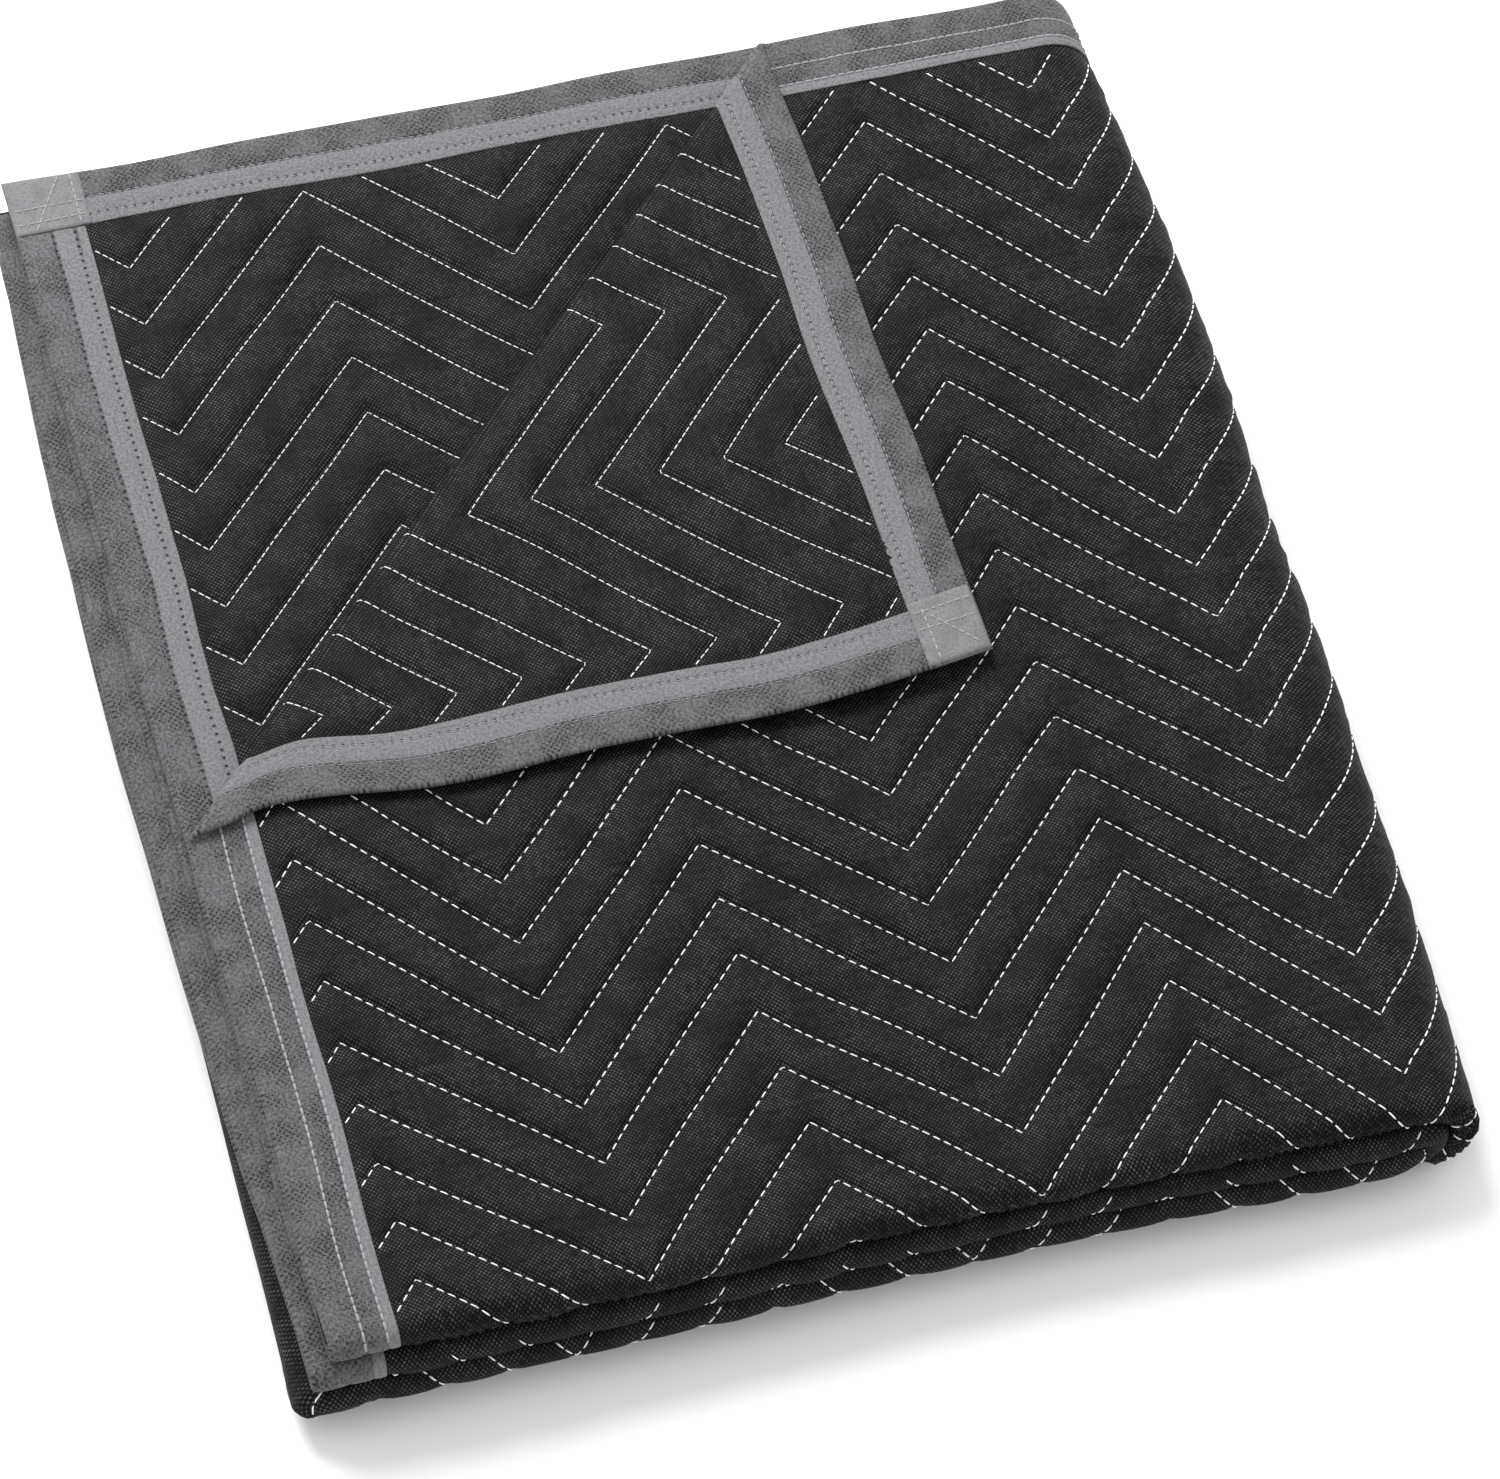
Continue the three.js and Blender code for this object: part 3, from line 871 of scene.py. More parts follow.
@dataclass(frozen=True)
class FeltTape:
    """Grey felted tape, smooth and light along its inner edge and pressed into dimples elsewhere, where its
    colour is darker: partly the felt's own tone, partly painted shade of the tape turning away over the edge.

    Its under side shows the dark needle holes of both stitch lines.
    """

    dimple: float = 2.3
    lines: tuple[float, float] = (12.0, 20.6)
    stitch: float = 3.5
    hole: float = 0.55
    dark: tuple[float, float, float] = (0.014, 0.014, 0.015)
    light: tuple[float, float, float] = (0.178, 0.181, 0.188)

    def make(self) -> Material:
        """Builds the material.

        Returns:
            The material.
        """
        finish = Finish("grey_felt_tape")
        places, along, inset = finish.flat_places()
        upper_side = finish.ramp(inset, -0.1, 0.1)
        under_side = finish.math("SUBTRACT", 1.0, upper_side)
        inset = finish.math("ABSOLUTE", inset)
        first, second = self.lines
        plain_under = finish.ramp(inset, first + 0.3, first + 1.2, 0.0, 0.85)
        plain_upper = finish.ramp(inset, second - 0.3, second + 0.5)
        plain = finish.blend(upper_side, plain_under, plain_upper)
        dots = finish.dots(along, inset, self.dimple)
        felt = finish.noise(places, 1.1, 4.0)
        patchy = finish.ramp(finish.noise(places, 15, 3.0), 0.35, 0.68)
        # The outer zone is painted darker: partly dimpled felt, partly painted shade of the tape turning away
        # over the edge.
        pressed = finish.math("MULTIPLY", patchy, finish.math("SUBTRACT", 1.0, plain))
        dimples = finish.math("MULTIPLY", finish.ramp(dots, 0.1, 0.85), pressed)
        share = finish.math("MULTIPLY_ADD", finish.ramp(felt, 0.3, 0.68), 0.42, 0.22)
        # Lighter inner band, darker outer zone and dimples; the darkening of the outer zone is partly painted
        # shade.
        for part, weight in ((plain, 0.33), (pressed, -0.12), (dimples, -0.45)):
            share = finish.math("MULTIPLY_ADD", part, weight, share)
        holes = finish.math("MULTIPLY", self.holes(finish, along, inset), under_side)
        kept = finish.math("MULTIPLY_ADD", holes, -0.92, 1.0)
        share = finish.math("MULTIPLY", share, kept, clamp=True)
        finish.colour(share, self.dark, self.light)
        finish.surface(0.92, 0.08, 0.2)
        height = finish.math("MULTIPLY_ADD", felt, 0.8, finish.math("MULTIPLY", dimples, -0.6))
        finish.bump(finish.math("MULTIPLY_ADD", holes, -1.5, height), 0.32)
        return finish.material

    def holes(self, finish: Finish, along: Socket, inset: Socket) -> Socket:
        """A mask of round needle holes along both stitch lines.

        Args:
            finish: the material that it belongs to.
            along: place along the strip.
            inset: place across it.

        Returns:
            1 in a hole and 0 outside.
        """
        wave = finish.math("COSINE", finish.math("MULTIPLY", along, 2 * math.pi / self.stitch))
        here = finish.ramp(wave, 0.35, 0.8)
        rows = []
        for line in self.lines:
            off = finish.math("ABSOLUTE", finish.math("SUBTRACT", inset, line))
            rows.append(finish.ramp(off, self.hole * 0.6, self.hole * 1.3, 1.0, 0.0))
        return finish.math("MULTIPLY", here, finish.math("MAXIMUM", *rows))


@dataclass(frozen=True)
class FeltPatch:
    """Light grey felt of the corner patches, nearly smooth."""

    dark: tuple[float, float, float] = (0.06, 0.061, 0.064)
    light: tuple[float, float, float] = (0.172, 0.175, 0.18)

    def make(self) -> Material:
        """Builds the material.

        Returns:
            The material.
        """
        finish = Finish("grey_felt_patch")
        places, _, _ = finish.flat_places()
        felt = finish.noise(places, 1.0, 4.0)
        patchy = finish.ramp(finish.noise(places, 9, 2.0), 0.3, 0.6, 0.72, 1.0)
        share = finish.math("MULTIPLY", finish.ramp(felt, 0.2, 0.6, 0.35, 1.0), patchy)
        finish.colour(share, self.dark, self.light)
        finish.surface(0.9, 0.08, 0.2)
        finish.bump(finish.math("ADD", felt, finish.noise(places, 6, 2.0)), 0.3)
        return finish.material


@dataclass(frozen=True)
class Thread:
    """Spun sewing thread."""

    name: str
    colour: tuple[float, float, float]

    def make(self) -> Material:
        """Builds the material.

        Returns:
            The material.
        """
        finish = Finish(self.name)
        coordinates = finish.node("ShaderNodeTexCoord")
        fibre = finish.noise(coordinates.outputs["Object"], 0.0004, 2.0)
        dark = tuple(part * 0.75 for part in self.colour)
        finish.colour(finish.ramp(fibre, 0.3, 0.6), dark, self.colour)
        finish.surface(0.7, 0.1, 0.2)
        finish.bump(fibre, 0.05)
        return finish.material


@dataclass
class Piece:
    """A mesh on its way to becoming a piece of the pad."""

    name: str
    points: Array
    triangles: Array
    flat: Array

    def build(self, material: Material, slot: str | None, *nodes: str) -> bpy.types.Object:
        """Makes the object, dresses it, and hangs it on the frame.

        Args:
            material: its finish.
            slot: not used.
            nodes: the solids that it stands for.

        Returns:
            The finished object.
        """
        mesh = bpy.data.meshes.new(self.name)
        mesh.from_pydata(self.points.tolist(), [], self.triangles.tolist())
        layer = mesh.uv_layers.new(name="flat")
        corners = np.zeros(len(mesh.loops), np.int32)
        mesh.loops.foreach_get("vertex_index", corners)
        layer.data.foreach_set("uv", self.flat[corners].astype(np.float32).ravel())
        mesh.polygons.foreach_set("use_smooth", np.ones(len(mesh.polygons), bool))
        mesh.materials.append(material)
        mesh.update()
        piece = bpy.data.objects.new(self.name, mesh)
        bpy.context.scene.collection.objects.link(piece)
        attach(piece, "root")
        if nodes:
            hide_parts(*nodes)
        LOG.info("%s: %d triangles", self.name, len(self.triangles))
        return piece


def zip_edges(first: Array, second: Array, first_at: Array, second_at: Array) -> Array:
    """Triangles that join two rows of vertices lying side by side.

    Args:
        first: vertex numbers of one row, in order.
        second: those of the other row.
        first_at: where each vertex of the first row lies along them.
        second_at: the same for the other row.

    Returns:
        The triangles.
    """
    found = []
    i = j = 0
    while i + 1 < len(first) or j + 1 < len(second):
        ahead = j + 1 >= len(second) or (i + 1 < len(first) and first_at[i + 1] <= second_at[j + 1])
        if ahead:
            found.append((first[i], second[j], first[i + 1]))
            i += 1
        else:
            found.append((first[i], second[j], second[j + 1]))
            j += 1
    return np.array(found)


def spaced(*parts: Array, low: float, high: float, least: float = 0.7) -> Array:
    """Sorts places for a mesh, leaving out those past its ends and those too close together.

    Args:
        parts: places to sort.
        low: first place, always kept.
        high: last place, always kept.
        least: how far apart they are at least.

    Returns:
        The places.
    """
    found = np.unique(np.round(np.concatenate(parts), 4))
    found = found[(found > low + least) & (found < high - least)]
    found = found[np.append(True, np.diff(found) > least)] if len(found) else found
    return np.array([low, *found, high])


@dataclass
class Block:
    """A rectangle of the flat cloth as a grid, its rows straight or along the zigzags."""

    columns: Array
    rows: Array
    share: Array | float = 0.0

    def grid(self) -> tuple[Array, Array]:
        """Places and triangles, with the ends of the zigzags held to the edges of the cloth.

        Returns:
            Its places and triangles.
        """
        across, row = np.meshgrid(self.columns, self.rows)
        u, v = QUILTING.flat(across, row, np.reshape(self.share, (-1, 1)))
        u[:, -1] = self.columns[-1]
        count = len(self.columns)
        if np.max(self.share) == 0:
            first, last = np.zeros(count, int), np.full(count, len(self.rows) - 1)
        else:
            first = np.maximum((v <= 0).sum(0) - 1, 0)
            last = len(self.rows) - np.maximum((v >= LENGTH).sum(0), 1)
        held = np.clip(np.arange(len(self.rows))[:, None], first, last)
        number = held * count + np.arange(count)
        corners = [number[:-1, :-1], number[:-1, 1:], number[1:, 1:], number[1:, :-1]]
        a, b, c, d = (corner.ravel() for corner in corners)
        triangles = np.concatenate([np.stack([a, b, c], 1), np.stack([a, c, d], 1)])
        whole = (triangles[:, 0] != triangles[:, 1]) & (triangles[:, 1] != triangles[:, 2])
        whole &= triangles[:, 0] != triangles[:, 2]
        places = np.stack([u, np.clip(v, 0, LENGTH)], -1).reshape(-1, 2)
        used, triangles = np.unique(triangles[whole], return_inverse=True)
        return places[used], triangles.reshape(-1, 3)


@dataclass
class FaceMesh:
    """One face of the flat cloth: blocks joined into columns, and the columns side by side."""

    places: list[Array] = field(default_factory=list)
    triangles: list[Array] = field(default_factory=list)
    count: int = 0
    column_end: Array | None = None

    def take(self, places: Array, triangles: Array) -> Array:
        """Takes in one block and returns the numbers of its vertices.

        Args:
            places: places of the block.
            triangles: its triangles.

        Returns:
            The numbers.
        """
        self.places.append(places)
        self.triangles.append(triangles + self.count)
        self.count += len(places)
        return np.arange(self.count - len(places), self.count)

    def along(self, numbers: Array, places: Array, axis: int, value: float) -> tuple[Array, Array]:
        """Vertices of a block on one of its sides, in order, and where they lie along it.

        Args:
            numbers: vertex numbers of the block.
            places: its places.
            axis: 0 for a side down the cloth, 1 for one across.
            value: where the side lies.

        Returns:
            The numbers on that side, and places along it.
        """
        side = np.flatnonzero(np.abs(places[:, axis] - value) < 0.02)
        side = side[np.argsort(places[side, 1 - axis])]
        return numbers[side], places[side, 1 - axis]

    def add_column(self, blocks: list[tuple[Array, Array]]) -> None:
        """Adds blocks that lie one below another, to the right of what is there.

        Args:
            blocks: places and triangles of each block.
        """
        left, right, below = [], [], None
        for places, triangles in blocks:
            numbers = self.take(places, triangles)
            top = self.along(numbers, places, 1, places[:, 1].min())
            if below is not None:
                self.triangles.append(zip_edges(top[0], below[0], top[1], below[1]))
            below = self.along(numbers, places, 1, places[:, 1].max())
            left.append(self.along(numbers, places, 0, places[:, 0].min()))
            right.append(self.along(numbers, places, 0, places[:, 0].max()))
        left, right = ([np.concatenate(part) for part in zip(*side)] for side in (left, right))
        if self.column_end is not None:
            end = self.column_end
            self.triangles.append(zip_edges(end[0], left[0], end[1], left[1]))
        self.column_end = right

    def whole(self) -> tuple[Array, Array]:
        """Places and triangles of the face."""
        return np.concatenate(self.places), np.concatenate(self.triangles)


def read_mesh(mesh: bmesh.types.BMesh) -> tuple[Array, Array]:
    """Reads a mesh out and frees it, its triangles in an order that is the same on each run.

    Args:
        mesh: the mesh, all triangles.

    Returns:
        Places and triangles.
    """
    mesh.verts.index_update()
    places = np.array([vertex.co for vertex in mesh.verts])
    triangles = np.array([[vertex.index for vertex in face.verts] for face in mesh.faces])
    mesh.free()
    turns = (triangles.argmin(1)[:, None] + np.arange(3)) % 3
    triangles = np.take_along_axis(triangles, turns, 1)
    return places, triangles[np.lexsort(triangles.T[::-1])]


def cut_beside_crease(places: Array, triangles: Array, offsets: tuple[float, ...]) -> tuple[Array, Array]:
    """Cuts a block along lines beside the crease.

    Args:
        places: u and v of its vertices.
        triangles: its triangles.
        offsets: how far past the crease each line lies.

    Returns:
        Places and triangles.
    """
    mesh = bmesh.new()
    vertices = [mesh.verts.new((u, v, 0)) for u, v in places]
    for triangle in triangles:
        mesh.faces.new([vertices[i] for i in triangle])
    to_corner = Vector((-1 / PILE.crease_far, -1 / PILE.crease_left, 0)).normalized()
    for offset in offsets:
        on_far_edge = PILE.crease_far * (1 - offset / PILE.reach)
        near = [face for face in mesh.faces if min(v.co.y for v in face.verts) < PILE.crease_left + 20]
        edges = {edge for face in near for edge in face.edges}
        corners = {corner for face in near for corner in face.verts}
        bmesh.ops.bisect_plane(mesh, geom=[*near, *edges, *corners], dist=0.02,
                               plane_co=(on_far_edge, 0, 0), plane_no=to_corner)
    bmesh.ops.triangulate(mesh, faces=mesh.faces[:])
    places, triangles = read_mesh(mesh)
    return places[:, :2], triangles


@dataclass
class Cloth:
    """The quilted cloth itself: one closed sheet, both faces quilted.

    Where quilting shows, its mesh follows the seams. Elsewhere it is coarse.
    """

    upper_until: float = 466.0
    lowest_until: float = 862.0
    under_until: float = 330.0
    end_step: float = 5.0
    margin: float = 5.0
    join: float = 3.5
    fold: tuple[float, float] = (500.0, 532.0)
    fold_join: float = 3.0
    after_fold: float = 8.0
    upper_eased: tuple[float, float, float] = (545.0, 700.0, 12.0)
    turned_eased: tuple[float, float] = (330.0, 505.0)
    beneath_eased: tuple[float, float] = (1552.0, 1640.0)
    upper_stops: tuple[float, int] = (40.0, 6)
    under_stops: tuple[float, int] = (60.0, 6)
    sparse_stops: tuple[float, int] = (40.0, 10)
    under_sparse_stops: tuple[float, int] = (60.0, 10)
    upper_per_half: int = 18
    under_per_half: int = 14
    lowest_grid: tuple[int, int] = (100, 128)
    fold_grid: tuple[int, int] = (134, 20)
    fine_step: float = 3.0
    least: float = 1.2
    column_least: float = 1.5
    shares: tuple[float, ...] = (0, 0.03, 0.08, 0.15, 0.23, 0.32, 0.41, 0.5, 0.59, 0.68, 0.77, 0.85,
                                 0.92, 0.97)
    under_shares: tuple[float, ...] = (0, 0.06, 0.17, 0.33, 0.5, 0.67, 0.83, 0.94)
    upper_cuts: tuple[float, ...] = (-1.0, 1.2, 3.6, 6.0, 8.2)
    under_cuts: tuple[float, ...] = (-1.2, 0, 0.9, 1.8, 2.7, 3.6, 4.5, 5.4, 6.3, 7.2, 8.4, 11)
    bound: tuple[float, ...] = (12, 22.5, 25.5, 29, 33)

    @property
    def top(self) -> float:
        """The first row that a zigzag can carry onto the cloth."""
        return -QUILTING.rise - 10

    def zigzag_columns(self, per_half: int, until: float) -> Array:
        """Columns that pass through the corners of the zigzags.

        Args:
            per_half: how many there are between two corners.
            until: where the last one lies.

        Returns:
            The places of the columns.
        """
        step = QUILTING.half / per_half
        steps = QUILTING.column + step * np.arange(-per_half, 8 * per_half)
        steps = steps[steps < until - self.end_step]
        return spaced(steps, np.array(self.bound), low=0, high=until, least=self.column_least)

    def seam_rows(self, stretch: Stretch, shares: tuple[float, ...], low: float, high: float) -> Array:
        """Rows at shares of each seam spacing.

        Args:
            stretch: the stretch of seams.
            shares: the shares.
            low: first row allowed.
            high: last row allowed.

        Returns:
            The rows, in order.
        """
        first, last = ((end - stretch.seam) / stretch.spacing for end in (low, high))
        steps = np.arange(math.floor(first), math.ceil(last))
        rows = (stretch.seam + (steps[:, None] + np.array(shares)) * stretch.spacing).ravel()
        return rows[(rows >= low) & (rows <= high)]

    def upper_face(self) -> tuple[Array, Array]:
        """Lays out the face that covers the pile and shows round its folds.

        Returns:
            Its places and triangles.
        """
        coarse = np.array(PILE.depth_path.stops(*self.upper_stops))
        edge = np.array(self.bound)
        (fold, end), (eased, even, apart) = self.fold, self.upper_eased
        rows = np.concatenate([
            self.seam_rows(QUILTING.main, self.shares, self.top, end + self.fold_join),
            np.arange(eased, even, apart), coarse[coarse > even + self.margin]])
        share = 1 - smooth(eased - self.margin, even, rows)
        main = Block(self.zigzag_columns(self.upper_per_half, self.upper_until), rows, share)
        face = FaceMesh()
        face.add_column([cut_beside_crease(*main.grid(), self.upper_cuts)])
        low, high = self.upper_until + self.join, self.lowest_until
        grids = (self.lowest_grid, self.fold_grid)
        columns, fold_columns = (np.linspace(low, high, grid[0]) for grid in grids)
        lowest_rows = spaced(np.linspace(0, fold, self.lowest_grid[1]), edge,
                             low=0, high=fold, least=self.least)
        fold_rows = np.linspace(fold + self.fold_join, end, self.fold_grid[1])
        after_rows = spaced(coarse[coarse > end + self.after_fold], LENGTH - edge,
                            low=end + self.fold_join, high=LENGTH)
        sparse = np.array(PILE.width_path.stops(*self.sparse_stops))
        face.add_column([Block(columns, lowest_rows).grid(), Block(fold_columns, fold_rows).grid(),
                         Block(spaced(sparse, low=low, high=high), after_rows).grid()])
        low = high + self.join
        few = spaced(sparse, WIDTH - edge, low=low, high=WIDTH)
        fine = spaced(np.arange(low, WIDTH, self.fine_step), sparse, WIDTH - edge,
                      low=low, high=WIDTH, least=self.least)
        before_rows = spaced(coarse, edge, low=0, high=fold)
        face.add_column([Block(few, before_rows).grid(), Block(fine, fold_rows).grid(),
                         Block(few, after_rows).grid()])
        return face.whole()

    def under_face(self) -> tuple[Array, Array]:
        """Lays out the face that shows on the turned corner and on the ply beneath it.

        Returns:
            Its places and triangles.
        """
        coarse = np.array(PILE.depth_path.stops(*self.under_stops))
        edge = np.array(self.bound)
        (seams_end, even), (uneven, seams_start) = self.turned_eased, self.beneath_eased
        rows = np.concatenate([
            self.seam_rows(QUILTING.main, self.under_shares, self.top, seams_end),
            np.arange(seams_end + 10, even, 12), coarse[(coarse > even + 3) & (coarse < uneven - 1)],
            np.arange(uneven + 8, seams_start - 4, 10),
            self.seam_rows(QUILTING.beneath, self.under_shares, seams_start + 1, LENGTH + 4)])
        share = 1 - smooth(seams_end, even, rows) + smooth(uneven, seams_start, rows)
        main = Block(self.zigzag_columns(self.under_per_half, self.under_until), rows, share)
        face = FaceMesh()
        face.add_column([cut_beside_crease(*main.grid(), self.under_cuts)])
        sparse = np.array(PILE.width_path.stops(*self.under_sparse_stops))
        columns = spaced(sparse, WIDTH - edge, low=self.under_until + self.margin, high=WIDTH)
        rows = spaced(coarse, edge, LENGTH - edge, low=0, high=LENGTH)
        face.add_column([Block(columns, rows).grid()])
        return face.whole()

    def rim(self, faces: dict[Face, tuple[Array, Array]], shift: int) -> Array:
        """Joins the edges of both faces, all round.

        Args:
            faces: places and triangles of each face.
            shift: number of the first vertex of the under face.

        Returns:
            The triangles between the edges.
        """
        found = []
        for axis, value, turned in ((1, 0.0, False), (0, WIDTH, False), (1, LENGTH, True), (0, 0.0, True)):
            numbers, at = {}, {}
            for face, (places, _) in faces.items():
                edge = np.flatnonzero(np.abs(places[:, axis] - value) < 1e-3)
                numbers[face] = edge[np.argsort(places[edge, 1 - axis])]
                at[face] = places[numbers[face], 1 - axis]
            side = zip_edges(numbers[Face.UPPER], numbers[Face.UNDER] + shift,
                             at[Face.UPPER], at[Face.UNDER])
            found.append(side[:, ::-1] if turned else side)
        return np.concatenate(found)

    def build(self, material: Material) -> bpy.types.Object:
        """Folds both faces and joins them into one sheet.

        Args:
            material: its finish.

        Returns:
            The cloth.
        """
        faces = {Face.UPPER: self.upper_face(), Face.UNDER: self.under_face()}
        points, flat, triangles = [], [], []
        for face, (places, cells) in faces.items():
            u, v = places.T
            points.append(PILE.place(u, v, face.value * RELIEF.half(u, v, face)))
            flat.append(places * MM)
            shift = len(points[0]) if face is Face.UNDER else 0
            triangles.append((cells if face is Face.UNDER else cells[:, ::-1]) + shift)
        triangles.append(self.rim(faces, len(points[0])))
        piece = Piece("quilted_cloth", *(np.concatenate(part) for part in (points, triangles, flat)))
        return piece.build(material, "cloth", "pad")


@dataclass(frozen=True)
class Stitching:
    """Stitches along a line: short raised lengths of thread with gaps where it dives."""

    length: float = 3.3
    gap: float = 1.15
    radius: float = 0.31
    lift: float = 0.12
    seed: int = 3

    def sew(self, u: Array, v: Array, half: Array, face: Face) -> tuple[Array, Array]:
        """Sews one line.

        Args:
            u: places across the flat cloth, close together along the line.
            v: places along it.
            half: height of the surface off the middle of the cloth at each place.
            face: the face that is sewn on.

        Returns:
            Points and triangles of the stitches.
        """
        walked = np.append(0, np.cumsum(np.hypot(np.diff(u), np.diff(v))))
        pitch = self.length + self.gap
        count = int(walked[-1] / pitch)
        if count < 1:
            return np.zeros((0, 3)), np.zeros((0, 3), int)
        jitter = np.random.default_rng(self.seed).uniform(-0.15, 0.15, (count, 2))
        start = np.arange(count) * pitch + self.gap / 2 + jitter[:, 0]
        at = start[:, None] + (self.length + jitter[:, 1:]) * np.array([0, 0.22, 0.78, 1])
        u_at, v_at, half_at = (np.interp(at, walked, values) for values in (u, v, half))
        heights = half_at + self.lift * np.array([-1.2, 1, 1, -1.2])
        middle = PILE.place(u_at, v_at, face.value * heights)
        above = PILE.place(u_at, v_at, face.value * (heights + 0.5))
        u_ahead, v_ahead = (np.interp(at + 0.2, walked, values) for values in (u, v))
        ahead = PILE.place(u_ahead, v_ahead, face.value * heights)
        up = (above - middle) / np.linalg.norm(above - middle, axis=-1, keepdims=True)
        side = np.cross(ahead - middle, up)
        side /= np.maximum(np.linalg.norm(side, axis=-1, keepdims=True), 1e-12)
        girth = self.radius * MM * np.array([0.5, 1, 1, 0.5])[:, None, None]
        ring = [side, up, -side, -up]
        points = np.stack([middle + girth[None, :, 0] * way for way in ring], 2).reshape(-1, 3)
        tube = [(4 * i + j, 4 * i + (j + 1) % 4, 4 * i + 4 + (j + 1) % 4, 4 * i + 4 + j)
                for i in range(3) for j in range(4)]
        caps = [(3, 2, 1, 0), (12, 13, 14, 15)]
        quads = np.array(tube + caps)
        shape = np.concatenate([quads[:, [2, 1, 0]], quads[:, [3, 2, 0]]])
        triangles = (shape[None] + 16 * np.arange(count)[:, None, None]).reshape(-1, 3)
        return points, triangles


@dataclass
class SewnLines:
    """Stitch lines gathered into one piece."""

    name: str
    points: list[Array] = field(default_factory=list)
    triangles: list[Array] = field(default_factory=list)
    count: int = 0

    def add(self, points: Array, triangles: Array) -> None:
        """Takes in the stitches of one line.

        Args:
            points: points of its stitches.
            triangles: their triangles.
        """
        self.points.append(points)
        self.triangles.append(triangles + self.count)
        self.count += len(points)

    def build(self, material: Material) -> bpy.types.Object:
        """Makes the piece.

        Args:
            material: the thread.

        Returns:
            The piece.
        """
        points = np.concatenate(self.points)
        piece = Piece(self.name, points, np.concatenate(self.triangles), points[:, :2])
        return piece.build(material, None)


class Seams(Enum):
    """Where seams show, and on which face."""

    TOP = "top"
    BOTTOM = "bottom"
    FOLDS = "folds"
    TURNED = "turned"
    BENEATH = "beneath"


@dataclass
class SeamStitches:
    """The white stitches of the quilting, wherever they show."""

    upper: Stitching = Stitching()
    under: Stitching = Stitching(length=2.75, gap=0.45, radius=0.25, lift=0.1)
    edge_margin: float = 25.8
    fold_lift: float = 0.55
    fold_share: float = 0.85
    seam_margin: float = 3.0
    turned_from: float = 0.3
    step: float = 0.9
    fewest: int = 6
    reach: tuple[float, float] = (-QUILTING.rise, 530.0)
    beneath_reach: float = 400.0

    def shown(self, where: Seams, u: Array, v: Array) -> Array:
        """Which places of the cloth show in one part of the pad.

        Args:
            where: the part of the pad.
            u: places across the flat cloth.
            v: places along it.

        Returns:
            True at each place that shows there.
        """
        past = PILE.past_crease(u, v)
        near, right = PILE.depth_path.legs[1], PILE.width_path.legs[1]
        fold_end = near.start + near.length * self.fold_share
        right_end = right.start + right.length
        lowest_end = right_end + PILE.width_run
        edge = np.minimum(np.minimum(u, WIDTH - u), np.minimum(v, LENGTH - v))
        places = {
            Seams.TOP: (past < 0) & (v < fold_end) & (u < right_end),
            Seams.BOTTOM: (v < fold_end) & (u > right_end) & (u < lowest_end),
            Seams.FOLDS: (v > near.start - self.seam_margin) & (v < fold_end) & (u > lowest_end),
            Seams.TURNED: past > self.turned_from,
            Seams.BENEATH: (v > LENGTH / 2) & (PILE.past_crease(u, LENGTH - v) > -self.seam_margin)}
        return places[where] & (edge > self.edge_margin)

    def build(self, where: Seams, material: Material) -> bpy.types.Object:
        """Sews all seams that show in one part of the pad.

        Args:
            where: the part of the pad.
            material: the thread.

        Returns:
            The piece.
        """
        face = Face.UNDER if where in (Seams.TURNED, Seams.BENEATH) else Face.UPPER
        stitching = self.under if face is Face.UNDER else self.upper
        stretch = QUILTING.beneath if where is Seams.BENEATH else QUILTING.main
        lines = SewnLines(f"stitches_{where.value}")
        lift = self.fold_lift if where is Seams.FOLDS else 0.0
        corners = QUILTING.column + QUILTING.half * np.arange(math.ceil(WIDTH / QUILTING.half))
        across = np.unique(np.append(np.arange(1, WIDTH, self.step), corners[corners < WIDTH]))
        reach = (LENGTH - self.beneath_reach, LENGTH) if where is Seams.BENEATH else self.reach
        first = math.ceil((reach[0] - stretch.seam) / stretch.spacing)
        last = math.floor((reach[1] - stretch.seam) / stretch.spacing)
        for k in range(first, last + 1):
            u, v = QUILTING.flat(across, np.full_like(across, stretch.seam + k * stretch.spacing))
            seen = self.shown(where, u, np.clip(v, 0, LENGTH)) & (v > 0) & (v < LENGTH)
            steps = np.diff(np.concatenate([[0], seen, [0]]))
            for low, high in zip(np.flatnonzero(steps == 1), np.flatnonzero(steps == -1)):
                if high - low < self.fewest:
                    continue
                part = slice(low, high)
                half = RELIEF.half(u[part], v[part], face) + lift
                lines.add(*stitching.sew(u[part], v[part], half, face))
        return lines.build(material)


class Edge(Enum):
    """The four edges of the cloth, named for where they lie once it is folded."""

    LEFT_TOP = "left_top"
    LEFT_SECOND = "left_second"
    FAR_TOP = "far_top"
    FAR_SECOND = "far_second"

    def flat(self, along: Array, inset: Array) -> tuple[Array, Array]:
        """Where a place along the edge and an inset from it lie on the flat cloth.

        Args:
            along: places along the edge.
            inset: insets from it.

        Returns:
            u and v of each place.
        """
        if self is Edge.LEFT_TOP:
            return inset, along
        if self is Edge.LEFT_SECOND:
            return WIDTH - inset, along
        if self is Edge.FAR_TOP:
            return along, inset
        return along, LENGTH - inset

    @property
    def down(self) -> bool:
        """Whether the edge runs down the length of the cloth."""
        return self in (Edge.LEFT_TOP, Edge.LEFT_SECOND)

    @property
    def mirrored(self) -> bool:
        """Whether its sections turn the other way."""
        return self in (Edge.LEFT_TOP, Edge.FAR_SECOND)

    @property
    def crease_at(self) -> float | None:
        """Where the crease of the turned corner crosses it."""
        return {Edge.LEFT_TOP: PILE.crease_left, Edge.FAR_TOP: PILE.crease_far}.get(self)


